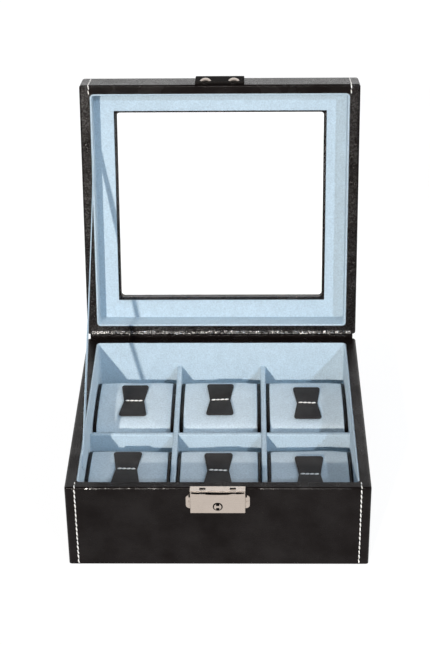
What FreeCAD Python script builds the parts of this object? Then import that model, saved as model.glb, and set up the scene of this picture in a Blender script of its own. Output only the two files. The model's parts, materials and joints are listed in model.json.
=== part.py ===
import FreeCAD, Part
import math
import os

from FreeCAD import Vector

# Driving dimensions, in millimetres and degrees.
# Origin: centre of the underside. X to the right, Y to the rear, Z up.

# Whole box
box_width = 202.2
box_depth = 190.0
base_height = 63.6
lid_height = 27.2
rim_gap = 0.4
lid_open_angle = 101.6

# Sheet and board thicknesses
leather = 1.0
board = 5.5
side_board = 6.3
lining = 1.4
felt = 1.0
floor_board = 4.0
floor_lining = 1.2
top_board = 7.0

# Rounding and seams of the covering
corner_radius = 2.0
rim_radius = 1.6
crown_radius = 1.8
cavity_radius = 3.0
seam_inset = 6.6
leather_lift = 0.3
lining_drop = 0.3

# Dividers
divider_thickness = 3.6
divider_top = 43.5
cross_drop = 1.0
cross_y = -1.5
divider_round = 1.0
lap_gap = 0.1

# Lid window
window_margin = 21.9
window_side_margin = 23.0
window_shift = 0.6
window_lip = 1.8
window_radius = 2.5
panel_corner = 0.5
glass = 2.0
glass_overlap = 4.0
glass_gap = 0.3

# Leather hinge, folded about the hinge axis
hinge_inset = 2.2
hinge_flap_base = 18.0
hinge_flap_lid = 16.0
hinge_fold = 0.15
hinge_rise = 1.25

# Ribbon stay, flat against the left wall linings
ribbon_width = 10.0
ribbon_thickness = 0.4
ribbon_base_y = -54.0
ribbon_base_drop = 6.6
ribbon_lid_reach = 136.5
ribbon_lid_depth = 4.0
ribbon_tail = 6.0

# Lock on the base front
lock_width = 36.4
lock_height = 17.6
lock_proud = 3.8
lock_sheet = 0.7
lock_back = 0.6
lock_edge = 0.6
lock_tongue = 1.8
brow_drop = 2.9
brow_sag = 0.9
brow_inset = 0.8
ear_reach = 2.9
ear_height = 10.6
ear_drop = 5.4
ear_round = 2.6
ear_notch_width = 1.1
ear_notch_height = 1.9
pin_head = 0.9
pin_rise = 0.2
pin_shank = 0.5
pin_length = 4.0
running_gap = 0.1

# Key barrel, bolt and detent spring inside the lock
key_drop = 12.45
barrel_radius = 2.85
barrel_gap = 0.45
barrel_bevel = 0.4
barrel_flange = 3.7
barrel_hub = 2.2
barrel_proud = 0.3
flange_thickness = 0.65
keyway_width = 2.2
keyway_bar = 1.5
keyway_depth = 1.0
crank_throw = 1.35
crank_angle = 45.0
crank_pin = 0.6
crank_play = 0.15
bolt_bar_height = 2.4
bolt_bar_drop = 6.2
bolt_tail_width = 4.4
bolt_tooth_height = 1.4
stud_radius = 0.7
stud_x = 9.5
spring_thickness = 0.3
spring_span = 9.0
spring_rise = 1.4
spring_inset = 9.2

# Hasp on the lid front
hasp_width = 35.5
hasp_edge_gap = 0.6
hasp_top_gap = 2.6
hook_x = 10.0
hook_width = 3.4
hook_stem = 1.6
hook_thickness = 0.8
hook_setback = 0.3
hook_reach = 5.0
hook_foot = 1.2
slot_gap_x = 0.35
slot_gap_y = 1.0
rivet_x = 10.2
rivet_height = 7.5
rivet_radius = 4.0
rivet_rise = 1.8
rivet_shank = 1.2
rivet_length = 5.0

# Cushions
cushion_side_gap = 0.5
cushion_floor_gap = 0.4
cushion_length = 70.0
cushion_height = 34.4
cushion_end_draw = 2.0
cushion_end_drop = 1.2
cushion_crown = 1.6
cushion_nose = 10.0
cushion_heel = 9.0
# Each section of the cushion: its share of the half width, and how much of the end draw it takes
cushion_stations = ((1.0, 1.0), (0.85, 0.35), (0.65, 0.08), (0.45, 0.0))
end_panel = 2.0
tab_length = 40.0
tab_width = 20.0
tab_waist = 15.0
tab_thickness = 1.4
tab_corner = 2.0
tuft_radius = 24.0
tuft_depth = 1.6

# Worked-out sizes
half_w = box_width / 2
half_d = box_depth / 2
wall = leather + board
inner_w = half_w - leather - side_board
inner_d = half_d - wall
room_w = inner_w - lining
room_d = inner_d - lining
floor_z = felt + floor_board
carpet_z = floor_z + floor_lining
lid_z = base_height + rim_gap
lid_top = lid_z + lid_height
frame_z = lid_top - leather - top_board
panel_z = frame_z - lining
axis_y = half_d + leather + hinge_fold
axis_z = base_height + hinge_rise
cell_width = (2 * room_w - 2 * divider_thickness) / 3
divider_x = (cell_width + divider_thickness) / 2
far = box_width + box_depth
tolerance = 1e-6


# Shared helpers
def block(x0, x1, y0, y1, z0, z1):
    """A box between two corners."""
    return Part.makeBox(x1 - x0, y1 - y0, z1 - z0, Vector(x0, y0, z0))


def mirrored_block(half_x, y0, y1, z0, z1):
    """A box that is centred on X = 0."""
    return block(-half_x, half_x, y0, y1, z0, z1)


def upright_edges(solid):
    """The straight edges that run along Z."""
    found = []
    for edge in solid.Edges:
        start, end = edge.Vertexes[0].Point, edge.Vertexes[-1].Point
        level = math.hypot(end.x - start.x, end.y - start.y)
        if level < tolerance < abs(end.z - start.z):
            found.append(edge)
    return found


def edges_at_height(solid, z):
    """The edges that lie wholly at one height."""
    return [e for e in solid.Edges if all(abs(v.Z - z) < tolerance for v in e.Vertexes)]


def rounded_prism(half_x, half_y, z0, z1, radius):
    """An upright prism on a rounded rectangle."""
    solid = block(-half_x, half_x, -half_y, half_y, z0, z1)
    return solid.makeFillet(radius, upright_edges(solid))


def cylinder_along_y(radius, x, z, y0, y1):
    """A cylinder whose axis runs along Y."""
    return Part.makeCylinder(radius, y1 - y0, Vector(x, y0, z), Vector(0, 1, 0))


def front_rear_left_right(ring, half_y):
    """Cuts a wall ring into its front, rear, left and right pieces; front and rear run the whole width."""
    front_zone = mirrored_block(far, -far, -half_y, -far, far)
    rear_zone = mirrored_block(far, half_y, far, -far, far)
    left_zone = block(-far, 0, -half_y, half_y, -far, far)
    right_zone = block(0, far, -half_y, half_y, -far, far)
    return [ring.common(zone) for zone in (front_zone, rear_zone, left_zone, right_zone)]


def named_walls(prefix, suffix, pieces):
    """Names four wall pieces by their side."""
    sides = ("front", "rear", "left", "right")
    return {f"{prefix}_{side}_{suffix}": piece for side, piece in zip(sides, pieces)}


def seam_zone(z0, z1):
    """The front sheet of leather, between the two sewn seams."""
    return mirrored_block(half_w - seam_inset, -far, -inner_d, z0, z1)


# Base
def base_shell():
    """Boards and leather of the base, with the rim leather turned over the boards."""
    outer = rounded_prism(half_w, half_d, leather_lift, base_height, corner_radius)
    outer = outer.makeFillet(rim_radius, edges_at_height(outer, base_height))
    board_top = base_height - leather
    core = rounded_prism(half_w - leather, half_d - leather, felt, board_top, corner_radius - leather)
    core = core.makeFillet(rim_radius - leather, edges_at_height(core, board_top))
    core_below = rounded_prism(half_w - leather, half_d - leather, -felt, felt, corner_radius - leather)
    cavity = rounded_prism(inner_w, inner_d, -far, far, cavity_radius)
    skin = outer.cut(core).cut(core_below).cut(cavity)
    zone = seam_zone(-far, far)
    nodes = named_walls("base", "board", front_rear_left_right(core.cut(cavity), inner_d))
    nodes["base_leather_front"] = skin.common(zone)
    nodes["base_leather_wrap"] = skin.cut(zone)
    nodes["base_floor_board"] = rounded_prism(inner_w, inner_d, felt, floor_z, cavity_radius)
    nodes["base_underside"] = rounded_prism(
        half_w - leather, half_d - leather, 0, felt, corner_radius - leather
    )
    return nodes


def wall_linings(prefix, z0, z1):
    """Four lining sheets on the inner faces of the walls."""
    ring = rounded_prism(inner_w, inner_d, z0, z1, cavity_radius)
    ring = ring.cut(rounded_prism(room_w, room_d, z0, z1, cavity_radius - lining))
    pieces = front_rear_left_right(ring, room_d)
    return {f"{prefix}_lining_{s}": p for s, p in zip(("front", "rear", "left", "right"), pieces)}


def base_linings():
    """Wall linings and floor lining of the base."""
    nodes = wall_linings("base", floor_z, base_height - lining_drop)
    nodes["base_floor_lining"] = rounded_prism(
        room_w, room_d, floor_z, carpet_z, cavity_radius - lining
    )
    return nodes


def dividers():
    """Two long dividers and one across, halved into each other, with rounded top edges."""
    half = divider_thickness / 2
    lap_z = (carpet_z + divider_top) / 2
    cross_top = divider_top - cross_drop
    cross = mirrored_block(room_w, cross_y - half, cross_y + half, carpet_z, cross_top)
    cross = cross.makeFillet(divider_round, [
        e for e in edges_at_height(cross, cross_top) if e.Length > 2 * divider_thickness
    ])
    nodes = {}
    for side, name in ((-1, "divider_left"), (1, "divider_right")):
        x = side * divider_x
        plank = block(x - half, x + half, -room_d, room_d, carpet_z, divider_top)
        plank = plank.makeFillet(divider_round, [
            e for e in edges_at_height(plank, divider_top) if e.Length > 2 * divider_thickness
        ])
        low_notch = block(
            x - divider_thickness, x + divider_thickness,
            cross_y - half - lap_gap, cross_y + half + lap_gap, 0, lap_z,
        )
        high_notch = block(
            x - half - lap_gap, x + half + lap_gap,
            cross_y - divider_thickness, cross_y + divider_thickness, lap_z, far,
        )
        nodes[name] = plank.cut(low_notch)
        cross = cross.cut(high_notch)
    nodes["divider_cross"] = cross
    return nodes


# Lock
lock_top = base_height
lock_bottom = lock_top - lock_height
lock_face_y = -half_d - lock_proud
plate_y = -half_d - lock_back
hook_back_y = plate_y - running_gap
hook_face_y = hook_back_y - hook_thickness
key_z = lock_top - key_drop
hook_tip_z = base_height - hook_reach
bolt_bar_top = lock_top - bolt_bar_drop
bolt_bar_bottom = bolt_bar_top - bolt_bar_height
bolt_travel = 2 * crank_throw * math.sin(math.radians(crank_angle))
crank_x = bolt_travel / 2
spring_foot_z = bolt_bar_bottom - running_gap - spring_rise - spring_thickness
stud_z = (bolt_bar_top + bolt_bar_bottom) / 2
spring_x = spring_inset - lock_width / 2


def brow_slot():
    """The bowed opening across the front of the lock case, under its top."""
    half = lock_width / 2 - brow_inset
    y = lock_face_y - lock_proud
    low = lock_top - brow_drop
    corners = [
        Vector(half, y, low + brow_sag), Vector(half, y, lock_top - lock_sheet),
        Vector(-half, y, lock_top - lock_sheet), Vector(-half, y, low + brow_sag),
    ]
    edges = [Part.makeLine(a, b) for a, b in zip(corners, corners[1:])]
    edges.append(Part.Arc(corners[-1], Vector(0, y, low), corners[0]).toShape())
    return Part.Face(Part.Wire(edges)).extrude(Vector(0, lock_proud + lock_sheet, 0))


def lock_case():
    """Pressed lock case with a bowed slot in front, a tongue over the rim and two slots for the hooks."""
    outer = mirrored_block(lock_width / 2, lock_face_y, plate_y, lock_bottom, lock_top)
    at_face = [e for e in outer.Edges if all(abs(v.Y - lock_face_y) < tolerance for v in e.Vertexes)]
    soft = [e for e in at_face if any(abs(v.Z - lock_top) < tolerance for v in e.Vertexes)]
    outer = outer.makeFillet(lock_edge, soft)
    hollow = mirrored_block(
        lock_width / 2 - lock_sheet, lock_face_y + lock_sheet, plate_y,
        lock_bottom + lock_sheet, lock_top - lock_sheet,
    )
    tongue = mirrored_block(
        lock_width / 2, plate_y, -half_d + lock_tongue, lock_top - lock_sheet, lock_top
    )
    case = outer.cut(hollow).fuse(tongue).removeSplitter().cut(brow_slot())
    for x in (-hook_x, hook_x):
        reach = hook_width / 2 + slot_gap_x
        case = case.cut(block(
            x - reach, x + reach, hook_face_y - slot_gap_y, hook_back_y + slot_gap_y, hook_tip_z, far
        ))
    bore = barrel_radius + barrel_gap
    return case.cut(cylinder_along_y(bore, 0, key_z, lock_face_y - lock_proud, lock_face_y + lock_sheet))


def tongue_seat():
    """The recess that lets the lock's tongue lie flush in the front rim."""
    return mirrored_block(
        lock_width / 2 + running_gap, -far, -half_d + lock_tongue + running_gap,
        lock_top - lock_sheet, far,
    )


ear_z = lock_top - ear_drop - ear_height / 2
pin_x = lock_width / 2 + ear_reach / 2


def lock_back_plate():
    """Flat plate behind the case, with a rounded, notched ear at each end, bolt studs and spring posts."""
    plate = mirrored_block(
        lock_width / 2, plate_y, -half_d, lock_bottom, lock_top - lock_sheet
    )
    ears = mirrored_block(
        lock_width / 2 + ear_reach, plate_y, -half_d, ear_z - ear_height / 2, ear_z + ear_height / 2
    )
    corners = [e for e in ears.Edges if abs(e.Length - lock_back) < tolerance]
    plate = plate.fuse(ears.makeFillet(ear_round, corners)).removeSplitter()
    ear_top = ear_z + ear_height / 2
    for x in (-lock_width / 2 - ear_notch_width, lock_width / 2):
        plate = plate.cut(block(
            x, x + ear_notch_width, plate_y, -half_d, ear_top - ear_notch_height, ear_top
        ))
    for x in (-pin_x, pin_x):
        plate = plate.cut(cylinder_along_y(pin_shank, x, ear_z, plate_y, -half_d))
    for x in (-stud_x, stud_x):
        plate = plate.fuse(cylinder_along_y(stud_radius, x, stud_z, hook_face_y, plate_y))
    for x in (spring_x - spring_span / 2, spring_x + spring_span / 2):
        post_z = spring_foot_z - running_gap - stud_radius
        plate = plate.fuse(cylinder_along_y(stud_radius, x, post_z, hook_face_y, plate_y))
    return plate.removeSplitter()


def lock_pins():
    """Two flat-domed pins that hold the ears to the front board."""
    pins = []
    ball = (pin_head ** 2 + pin_rise ** 2) / (2 * pin_rise)
    for x in (-pin_x, pin_x):
        head = Part.makeSphere(ball, Vector(x, plate_y - pin_rise + ball, ear_z))
        head = head.common(mirrored_block(far, -far, plate_y, -far, far))
        shank = cylinder_along_y(pin_shank, x, ear_z, plate_y, -half_d + pin_length)
        pins.append(head.fuse(shank).removeSplitter())
    return Part.makeCompound(pins)


def pin_holes():
    """The holes that the pins make in the leather and the board."""
    holes = [cylinder_along_y(pin_shank, x, ear_z, -half_d, -half_d + pin_length) for x in (-pin_x, pin_x)]
    return holes[0].fuse(holes[1])


def key_barrel():
    """Barrel with a barred keyway in its face, a flange behind the case and a crank pin at the rear."""
    inside_y = lock_face_y + lock_sheet + running_gap
    flange_end = inside_y + flange_thickness
    hub_end = hook_face_y - running_gap
    face_y = lock_face_y - barrel_proud
    barrel = cylinder_along_y(barrel_radius, 0, key_z, face_y, inside_y)
    rim = [e for e in barrel.Edges if e.BoundBox.YMax < face_y + tolerance]
    barrel = barrel.makeChamfer(barrel_bevel, rim)
    barrel = barrel.fuse(cylinder_along_y(barrel_flange, 0, key_z, inside_y, flange_end))
    barrel = barrel.fuse(cylinder_along_y(barrel_hub, 0, key_z, flange_end, hub_end))
    pin_z = key_z + crank_throw * math.cos(math.radians(crank_angle))
    barrel = barrel.fuse(cylinder_along_y(crank_pin, crank_x, pin_z, hub_end, hook_back_y))
    for low, high in ((-barrel_radius, -keyway_bar / 2), (keyway_bar / 2, barrel_radius)):
        barrel = barrel.cut(block(
            -keyway_width / 2, keyway_width / 2, face_y, face_y + keyway_depth, key_z + low, key_z + high
        ))
    return barrel.removeSplitter()


def lock_bolt():
    """Sliding bolt: a bar with two overhanging teeth, stud slots and a slotted tail for the crank pin."""
    lead = hook_width / 2 + bolt_travel
    tooth_low = hook_tip_z + hook_foot + 4 * running_gap
    tooth_high = tooth_low + bolt_tooth_height
    y0, y1 = hook_face_y, hook_back_y
    bar_end = hook_x + lead + hook_stem + hook_stem
    bolt = block(-bar_end + lead, bar_end, y0, y1, bolt_bar_bottom, bolt_bar_top)
    for x in (-hook_x, hook_x):
        tip = x + bolt_travel + 2 * running_gap
        stem = x + lead + 3 * running_gap
        bolt = bolt.fuse(block(stem, stem + hook_stem, y0, y1, bolt_bar_top, tooth_high))
        bolt = bolt.fuse(block(tip, stem, y0, y1, tooth_low, tooth_high))
    half_tail = bolt_tail_width / 2
    bolt = bolt.fuse(block(
        crank_x - half_tail, crank_x + half_tail, y0, y1, key_z, bolt_bar_bottom
    ))
    slot = crank_pin + crank_play
    bolt = bolt.cut(block(
        crank_x - slot, crank_x + slot, y0, y1,
        key_z + crank_throw / 2 - slot, key_z + crank_throw + slot,
    ))
    for x in (-stud_x, stud_x):
        room = stud_radius + crank_play
        bolt = bolt.cut(block(x - room, x + bolt_travel + room, y0, y1, stud_z - room, stud_z + room))
    return bolt.removeSplitter()


def lock_spring():
    """Bowed leaf that presses the bolt up, standing on two posts."""
    half = spring_span / 2

    def bow(z, rise):
        ends = Vector(spring_x - half, hook_face_y, z), Vector(spring_x + half, hook_face_y, z)
        return Part.Arc(ends[0], Vector(spring_x, hook_face_y, z + rise), ends[1]).toShape()

    low, high = bow(spring_foot_z, spring_rise), bow(spring_foot_z + spring_thickness, spring_rise)
    sides = [
        Part.makeLine(low.Vertexes[i].Point, high.Vertexes[i].Point) for i in (0, 1)
    ]
    outline = Part.Wire(Part.__sortEdges__([low, sides[0], high, sides[1]]))
    return Part.Face(outline).extrude(Vector(0, hook_thickness, 0))


def lock_nodes(nodes):
    """Adds the lock and lets it into the front leather and board."""
    nodes["base_leather_front"] = nodes["base_leather_front"].cut(tongue_seat()).cut(pin_holes())
    nodes["base_front_board"] = nodes["base_front_board"].cut(tongue_seat()).cut(pin_holes())
    nodes["lock_case"] = lock_case()
    nodes["lock_back_plate"] = lock_back_plate()
    nodes["lock_pins"] = lock_pins()
    nodes["lock_spring"] = lock_spring()
    nodes["key_barrel"] = key_barrel()
    nodes["lock_bolt"] = lock_bolt()


# Lid, drawn closed and then swung open about the hinge axis
def opened(shape):
    """A copy of a closed-lid shape, swung open."""
    swung = shape.copy()
    swung.rotate(Vector(0, axis_y, axis_z), Vector(-1, 0, 0), lid_open_angle)
    return swung


def window_prism(inset, z0, z1, radius=window_radius):
    """The window opening, a little nearer the hinge than the front, grown outwards by a negative inset."""
    half_x = half_w - window_side_margin - inset
    half_y = half_d - window_margin - inset
    return rounded_prism(half_x, half_y, z0, z1, radius).translated(Vector(0, window_shift, 0))


def lid_shell():
    """Boards, window frame and leather of the lid."""
    outer = rounded_prism(half_w, half_d, lid_z, lid_top, corner_radius)
    outer = outer.makeFillet(rim_radius, edges_at_height(outer, lid_z))
    outer = outer.makeFillet(crown_radius, edges_at_height(outer, lid_top))
    low, high = lid_z + leather, lid_top - leather
    core = rounded_prism(half_w - leather, half_d - leather, low, high, corner_radius - leather)
    core = core.makeFillet(rim_radius - leather, edges_at_height(core, low))
    core = core.makeFillet(crown_radius - leather, edges_at_height(core, high))
    cavity = rounded_prism(inner_w, inner_d, -far, frame_z, cavity_radius)
    walls_zone = mirrored_block(far, -far, far, -far, frame_z)
    nodes = named_walls(
        "lid", "board", front_rear_left_right(core.common(walls_zone).cut(cavity), inner_d)
    )

    pocket_top = frame_z + glass
    pane_inset = window_lip - glass_overlap
    frame = core.cut(walls_zone).cut(window_prism(window_lip - leather, -far, far))
    nodes["lid_top_frame"] = frame.cut(window_prism(pane_inset - glass_gap, -far, pocket_top))
    nodes["glass_pane"] = window_prism(pane_inset, frame_z, pocket_top)

    skin = outer.cut(core).cut(cavity)
    top_zone = mirrored_block(far, -far, far, lid_top - crown_radius, far)
    turn_in = window_prism(window_lip - leather, pocket_top, high)
    top_sheet = skin.common(top_zone).fuse(turn_in).removeSplitter()
    nodes["lid_leather_top"] = top_sheet.cut(window_prism(window_lip, -far, far))
    side_skin = skin.cut(top_zone)
    nodes["lid_leather_front"] = side_skin.common(seam_zone(-far, far))
    nodes["lid_leather_wrap"] = side_skin.cut(seam_zone(-far, far))
    return nodes


def lid_linings():
    """Wall linings of the lid and the framed panel that holds the glass in its rebate."""
    nodes = wall_linings("lid", lid_z + lining_drop, panel_z)
    panel = rounded_prism(inner_w, inner_d, panel_z, frame_z, cavity_radius)
    nodes["lid_lining_panel"] = panel.cut(window_prism(0, -far, far, panel_corner))
    return nodes


def hook_outline(x):
    """One hook: a stem with a foot to the right, in the plane of the bolt."""
    left = x - hook_width / 2
    root_z = lid_z + hasp_edge_gap + hook_foot
    stem = block(left, left + hook_stem, hook_face_y, hook_back_y, hook_tip_z, root_z)
    foot = block(left, left + hook_width, hook_face_y, hook_back_y, hook_tip_z, hook_tip_z + hook_foot)
    return stem.fuse(foot)


hasp_face_y = hook_face_y - hook_setback


def hasp_plate():
    """Plate on the lid front with softened edges and two hooks for the lock."""
    z0, z1 = lid_z + hasp_edge_gap, lid_top - hasp_top_gap
    plate = mirrored_block(hasp_width / 2, hasp_face_y, -half_d, z0, z1)
    face_edges = [e for e in plate.Edges if all(abs(v.Y - hasp_face_y) < tolerance for v in e.Vertexes)]
    plate = plate.makeFillet(lock_edge, face_edges)
    for x in (-hook_x, hook_x):
        plate = plate.fuse(hook_outline(x))
    return plate.removeSplitter()


def hasp_nodes(nodes):
    """Adds the hasp and its two domed rivets, with their holes."""
    z = lid_z + rivet_height
    plate = hasp_plate()
    rivets = []
    for x in (-rivet_x, rivet_x):
        shank = cylinder_along_y(rivet_shank, x, z, hasp_face_y, -half_d + rivet_length)
        ball = (rivet_radius ** 2 + rivet_rise ** 2) / (2 * rivet_rise)
        dome = Part.makeSphere(ball, Vector(x, hasp_face_y - rivet_rise + ball, z))
        dome = dome.common(mirrored_block(far, -far, hasp_face_y, -far, far))
        plate = plate.cut(shank)
        nodes["lid_leather_front"] = nodes["lid_leather_front"].cut(shank)
        nodes["lid_front_board"] = nodes["lid_front_board"].cut(shank)
        rivets.append(dome.fuse(shank).removeSplitter())
    nodes["hasp_plate"] = plate
    nodes["hasp_rivets"] = Part.makeCompound(rivets)


def lid_nodes():
    """Every piece of the lid, in its open place."""
    nodes = lid_shell()
    nodes.update(lid_linings())
    hasp_nodes(nodes)
    return {name: opened(shape) for name, shape in nodes.items()}


# Hinge and stay
def hinge_leather():
    """Leather strip along the rear: a flap on the base, a round fold on the axis and a flap on the lid."""
    half = half_w - hinge_inset
    far_y = half_d + leather
    base_flap = mirrored_block(half, half_d, far_y, axis_z - hinge_flap_base, axis_z)
    lid_flap = opened(mirrored_block(half, half_d, far_y, axis_z, axis_z + hinge_flap_lid))
    fold = Part.makeCylinder(
        hinge_fold + leather, 2 * half, Vector(-half, axis_y, axis_z), Vector(1, 0, 0)
    )
    fold = fold.cut(Part.makeCylinder(
        hinge_fold, 2 * half, Vector(-half, axis_y, axis_z), Vector(1, 0, 0)
    ))
    above_base = mirrored_block(far, -far, far, axis_z, far)
    before_lid = opened(mirrored_block(far, -far, far, -far, axis_z))
    wedge = above_base.common(before_lid)
    return base_flap.fuse(fold.common(wedge)).fuse(lid_flap).removeSplitter()


def lid_ribbon():
    """Flat ribbon, pulled straight between the base wall and the open lid's wall."""
    low = Vector(0, ribbon_base_y, base_height - ribbon_base_drop)
    closed_end = Part.Vertex(0, half_d - ribbon_lid_reach, lid_z + ribbon_lid_depth)
    high = opened(closed_end).Point
    along = (high - low).normalize()
    across = Vector(0, -along.z, along.y) * (ribbon_width / 2)
    low, high = low - along * ribbon_tail, high + along * ribbon_tail
    shift = Vector(-room_w, 0, 0)
    corners = [low + across, high + across, high - across, low - across]
    outline = Part.makePolygon([c + shift for c in corners + corners[:1]])
    return Part.Face(outline).extrude(Vector(ribbon_thickness, 0, 0))


# Cushions
pad_half = cell_width / 2 - cushion_side_gap - end_panel
cushion_z = carpet_z + cushion_floor_gap


def cushion_section(x, length, height):
    """Closed outline of a bolster at one X: flat below, rounded heels and noses, crowned top."""
    reach, brow = length / 2, height - cushion_crown
    shoulder, heel = reach - cushion_nose, reach - cushion_heel
    nose_bow, heel_bow = cushion_nose * math.sqrt(0.5), cushion_heel * math.sqrt(0.5)

    def side(sign):
        nose_z = brow - cushion_nose

        def point(y, z):
            return Vector(x, sign * y, z)

        low = Part.Arc(
            point(heel, 0), point(heel + heel_bow, cushion_heel - heel_bow), point(reach, cushion_heel)
        )
        high = Part.Arc(
            point(reach, nose_z), point(shoulder + nose_bow, nose_z + nose_bow), point(shoulder, brow)
        )
        face = Part.makeLine(point(reach, cushion_heel), point(reach, nose_z))
        return [low.toShape(), face, high.toShape()]

    sole = Part.makeLine(Vector(x, -heel, 0), Vector(x, heel, 0))
    crown = Part.Arc(Vector(x, shoulder, brow), Vector(x, 0, height), Vector(x, -shoulder, brow)).toShape()
    return Part.Wire([sole] + side(1) + [crown] + side(-1)[::-1])


def bolster(extra):
    """The stuffed pad, level along its middle with drawn-in ends, its top raised by an extra thickness."""
    sections = []
    for share, draw in cushion_stations:
        section = cushion_section(
            share * pad_half,
            cushion_length - cushion_end_draw * draw,
            cushion_height - cushion_end_drop * draw + extra,
        )
        sections.append(section)
    others = [section.mirror(Vector(0, 0, 0), Vector(1, 0, 0)) for section in reversed(sections)]
    return Part.makeLoft(sections + others, True, True)


def tuft(radius):
    """The round hollow that the stitched waist of the tab pulls into the pad's top."""
    return Part.makeSphere(radius, Vector(0, 0, cushion_height - tuft_depth + tuft_radius))


def tab_prism():
    """Upright prism on the tab's waisted outline."""
    half_x, half_y, waist = tab_width / 2, tab_length / 2, tab_waist / 2

    def point(x, y):
        return Vector(x, y, 0)

    corners = [
        point(-half_x, half_y), point(half_x, half_y), point(waist, 0),
        point(half_x, -half_y), point(-half_x, -half_y), point(-waist, 0),
    ]
    outline = Part.makePolygon(corners + corners[:1])
    prism = Part.Face(outline).extrude(Vector(0, 0, 2 * cushion_height))
    prism = prism.makeFillet(tab_corner, upright_edges(prism))
    return prism.common(block(-far, far, -far, far, cushion_height / 2, far))


def end_panels():
    """The two flat end panels of a cushion."""
    panels = []
    for x in (-pad_half - end_panel, pad_half):
        outline = cushion_section(x, cushion_length - cushion_end_draw, cushion_height - cushion_end_drop)
        panels.append(Part.Face(outline).extrude(Vector(end_panel, 0, 0)))
    return Part.makeCompound(panels)


def cushion_nodes():
    """Six cushions, numbered from the rear left to the front right."""
    pad = bolster(0).cut(tuft(tuft_radius))
    tab = bolster(tab_thickness).cut(tuft(tuft_radius - tab_thickness)).common(tab_prism()).cut(pad)
    tab = max(tab.Solids, key=lambda solid: solid.Volume)
    pieces = {"pad": pad, "ends": end_panels(), "tab": tab}
    half = divider_thickness / 2
    rows = (cross_y + half + room_d) / 2, (cross_y - half - room_d) / 2
    columns = -(cell_width + divider_thickness), 0.0, cell_width + divider_thickness
    places = [Vector(x, y, cushion_z) for y in rows for x in columns]
    return {
        f"cushion_{kind}_{number}": shape.translated(place)
        for number, place in enumerate(places, start=1)
        for kind, shape in pieces.items()
    }


# Assembly
def all_nodes():
    """Every piece of the box by its name."""
    nodes = base_shell()
    nodes.update(base_linings())
    nodes.update(dividers())
    lock_nodes(nodes)
    nodes.update(lid_nodes())
    nodes["hinge_leather"] = hinge_leather()
    nodes["lid_ribbon"] = lid_ribbon()
    nodes.update(cushion_nodes())
    return nodes


os.makedirs("parts", exist_ok=True)
for name, shape in sorted(all_nodes().items()):
    shape.exportStep(f"parts/{name}.step")
    print(f"{name}: {len(shape.Solids)} solids, {shape.Volume:.1f} mm3, valid {shape.isValid()}")
print(f"hinge axis y {axis_y:.3f} z {axis_z:.3f}, bolt travel {bolt_travel:.4f}, key z {key_z:.3f}")
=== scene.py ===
import json
import math

import bmesh
import bpy
from bpy.props import FloatProperty, FloatVectorProperty, IntProperty, PointerProperty
from mathutils import Matrix, Vector, noise
from mathutils.bvhtree import BVHTree


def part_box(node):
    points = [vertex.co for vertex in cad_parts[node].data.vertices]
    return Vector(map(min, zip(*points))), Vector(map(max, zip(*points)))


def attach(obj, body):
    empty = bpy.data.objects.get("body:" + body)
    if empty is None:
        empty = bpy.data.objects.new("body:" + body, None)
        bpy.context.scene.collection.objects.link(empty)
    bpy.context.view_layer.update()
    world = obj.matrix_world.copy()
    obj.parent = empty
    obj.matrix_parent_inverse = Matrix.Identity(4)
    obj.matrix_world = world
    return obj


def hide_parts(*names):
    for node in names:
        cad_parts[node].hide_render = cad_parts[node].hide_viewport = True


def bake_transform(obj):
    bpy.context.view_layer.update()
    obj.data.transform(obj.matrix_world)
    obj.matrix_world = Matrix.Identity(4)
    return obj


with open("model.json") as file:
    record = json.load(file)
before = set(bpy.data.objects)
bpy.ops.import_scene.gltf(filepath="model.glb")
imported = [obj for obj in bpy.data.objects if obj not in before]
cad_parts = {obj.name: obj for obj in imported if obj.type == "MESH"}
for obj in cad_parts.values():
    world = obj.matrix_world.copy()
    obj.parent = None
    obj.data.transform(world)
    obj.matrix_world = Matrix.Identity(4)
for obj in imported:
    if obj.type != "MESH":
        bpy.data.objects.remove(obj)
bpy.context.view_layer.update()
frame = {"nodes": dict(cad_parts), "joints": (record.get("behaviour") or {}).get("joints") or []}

bl_info = {
    "name": "Watch box",
    "version": (1, 0, 0),
    "blender": (4, 5, 0),
    "location": "3D View > Sidebar > Watch box",
    "description": "Dresses the frame of a watch box in leather, velour, thread, nickel and glass",
    "category": "Object",
}

MM = 0.001


def linear(hex_code):
    """The linear red, green and blue of an sRGB hex colour."""
    channels = [int(hex_code[i:i + 2], 16) / 255 for i in (1, 3, 5)]
    return tuple(c / 12.92 if c <= 0.04045 else ((c + 0.055) / 1.055) ** 2.4 for c in channels)


# Places that come from the frame
case_high = Vector(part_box("base_leather_wrap")[1])
half_width, half_depth, rim_z = case_high.x, case_high.y, case_high.z
lining_low, lining_high = (Vector(corner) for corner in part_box("base_lining_front"))
cavity_half_x, cavity_half_y = -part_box("base_lining_left")[0][0], -lining_low.y
lining_thickness = lining_high.y - lining_low.y
hinge_joint = next(joint for joint in frame["joints"] if joint["name"] == "lid_hinge")
hinge_point = Vector(hinge_joint["pos_m"])
open_angle = math.radians(-hinge_joint["range_deg"][0])
open_lid = (
    Matrix.Translation(hinge_point)
    @ Matrix.Rotation(open_angle, 4, Vector(hinge_joint["axis"]))
    @ Matrix.Translation(-hinge_point)
)
cushion_numbers = range(1, 7)

# Sizes that the frame shares with its source
lid_gap = 0.4 * MM
lid_height = 27.2 * MM
lid_panel_drop = 9.4 * MM
lining_drop = 0.3 * MM
cavity_radius = 3.0 * MM
rim_radius = 1.6 * MM
seam_x = half_width - 6.6 * MM
lid_rim_z = rim_z + lid_gap
lid_top_z = lid_rim_z + lid_height


def size_property(name, description, millimetres):
    """A length that a maker would change, given in millimetres."""
    return FloatProperty(
        name=name, description=description, default=millimetres * MM, unit="LENGTH", precision=5)


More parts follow.
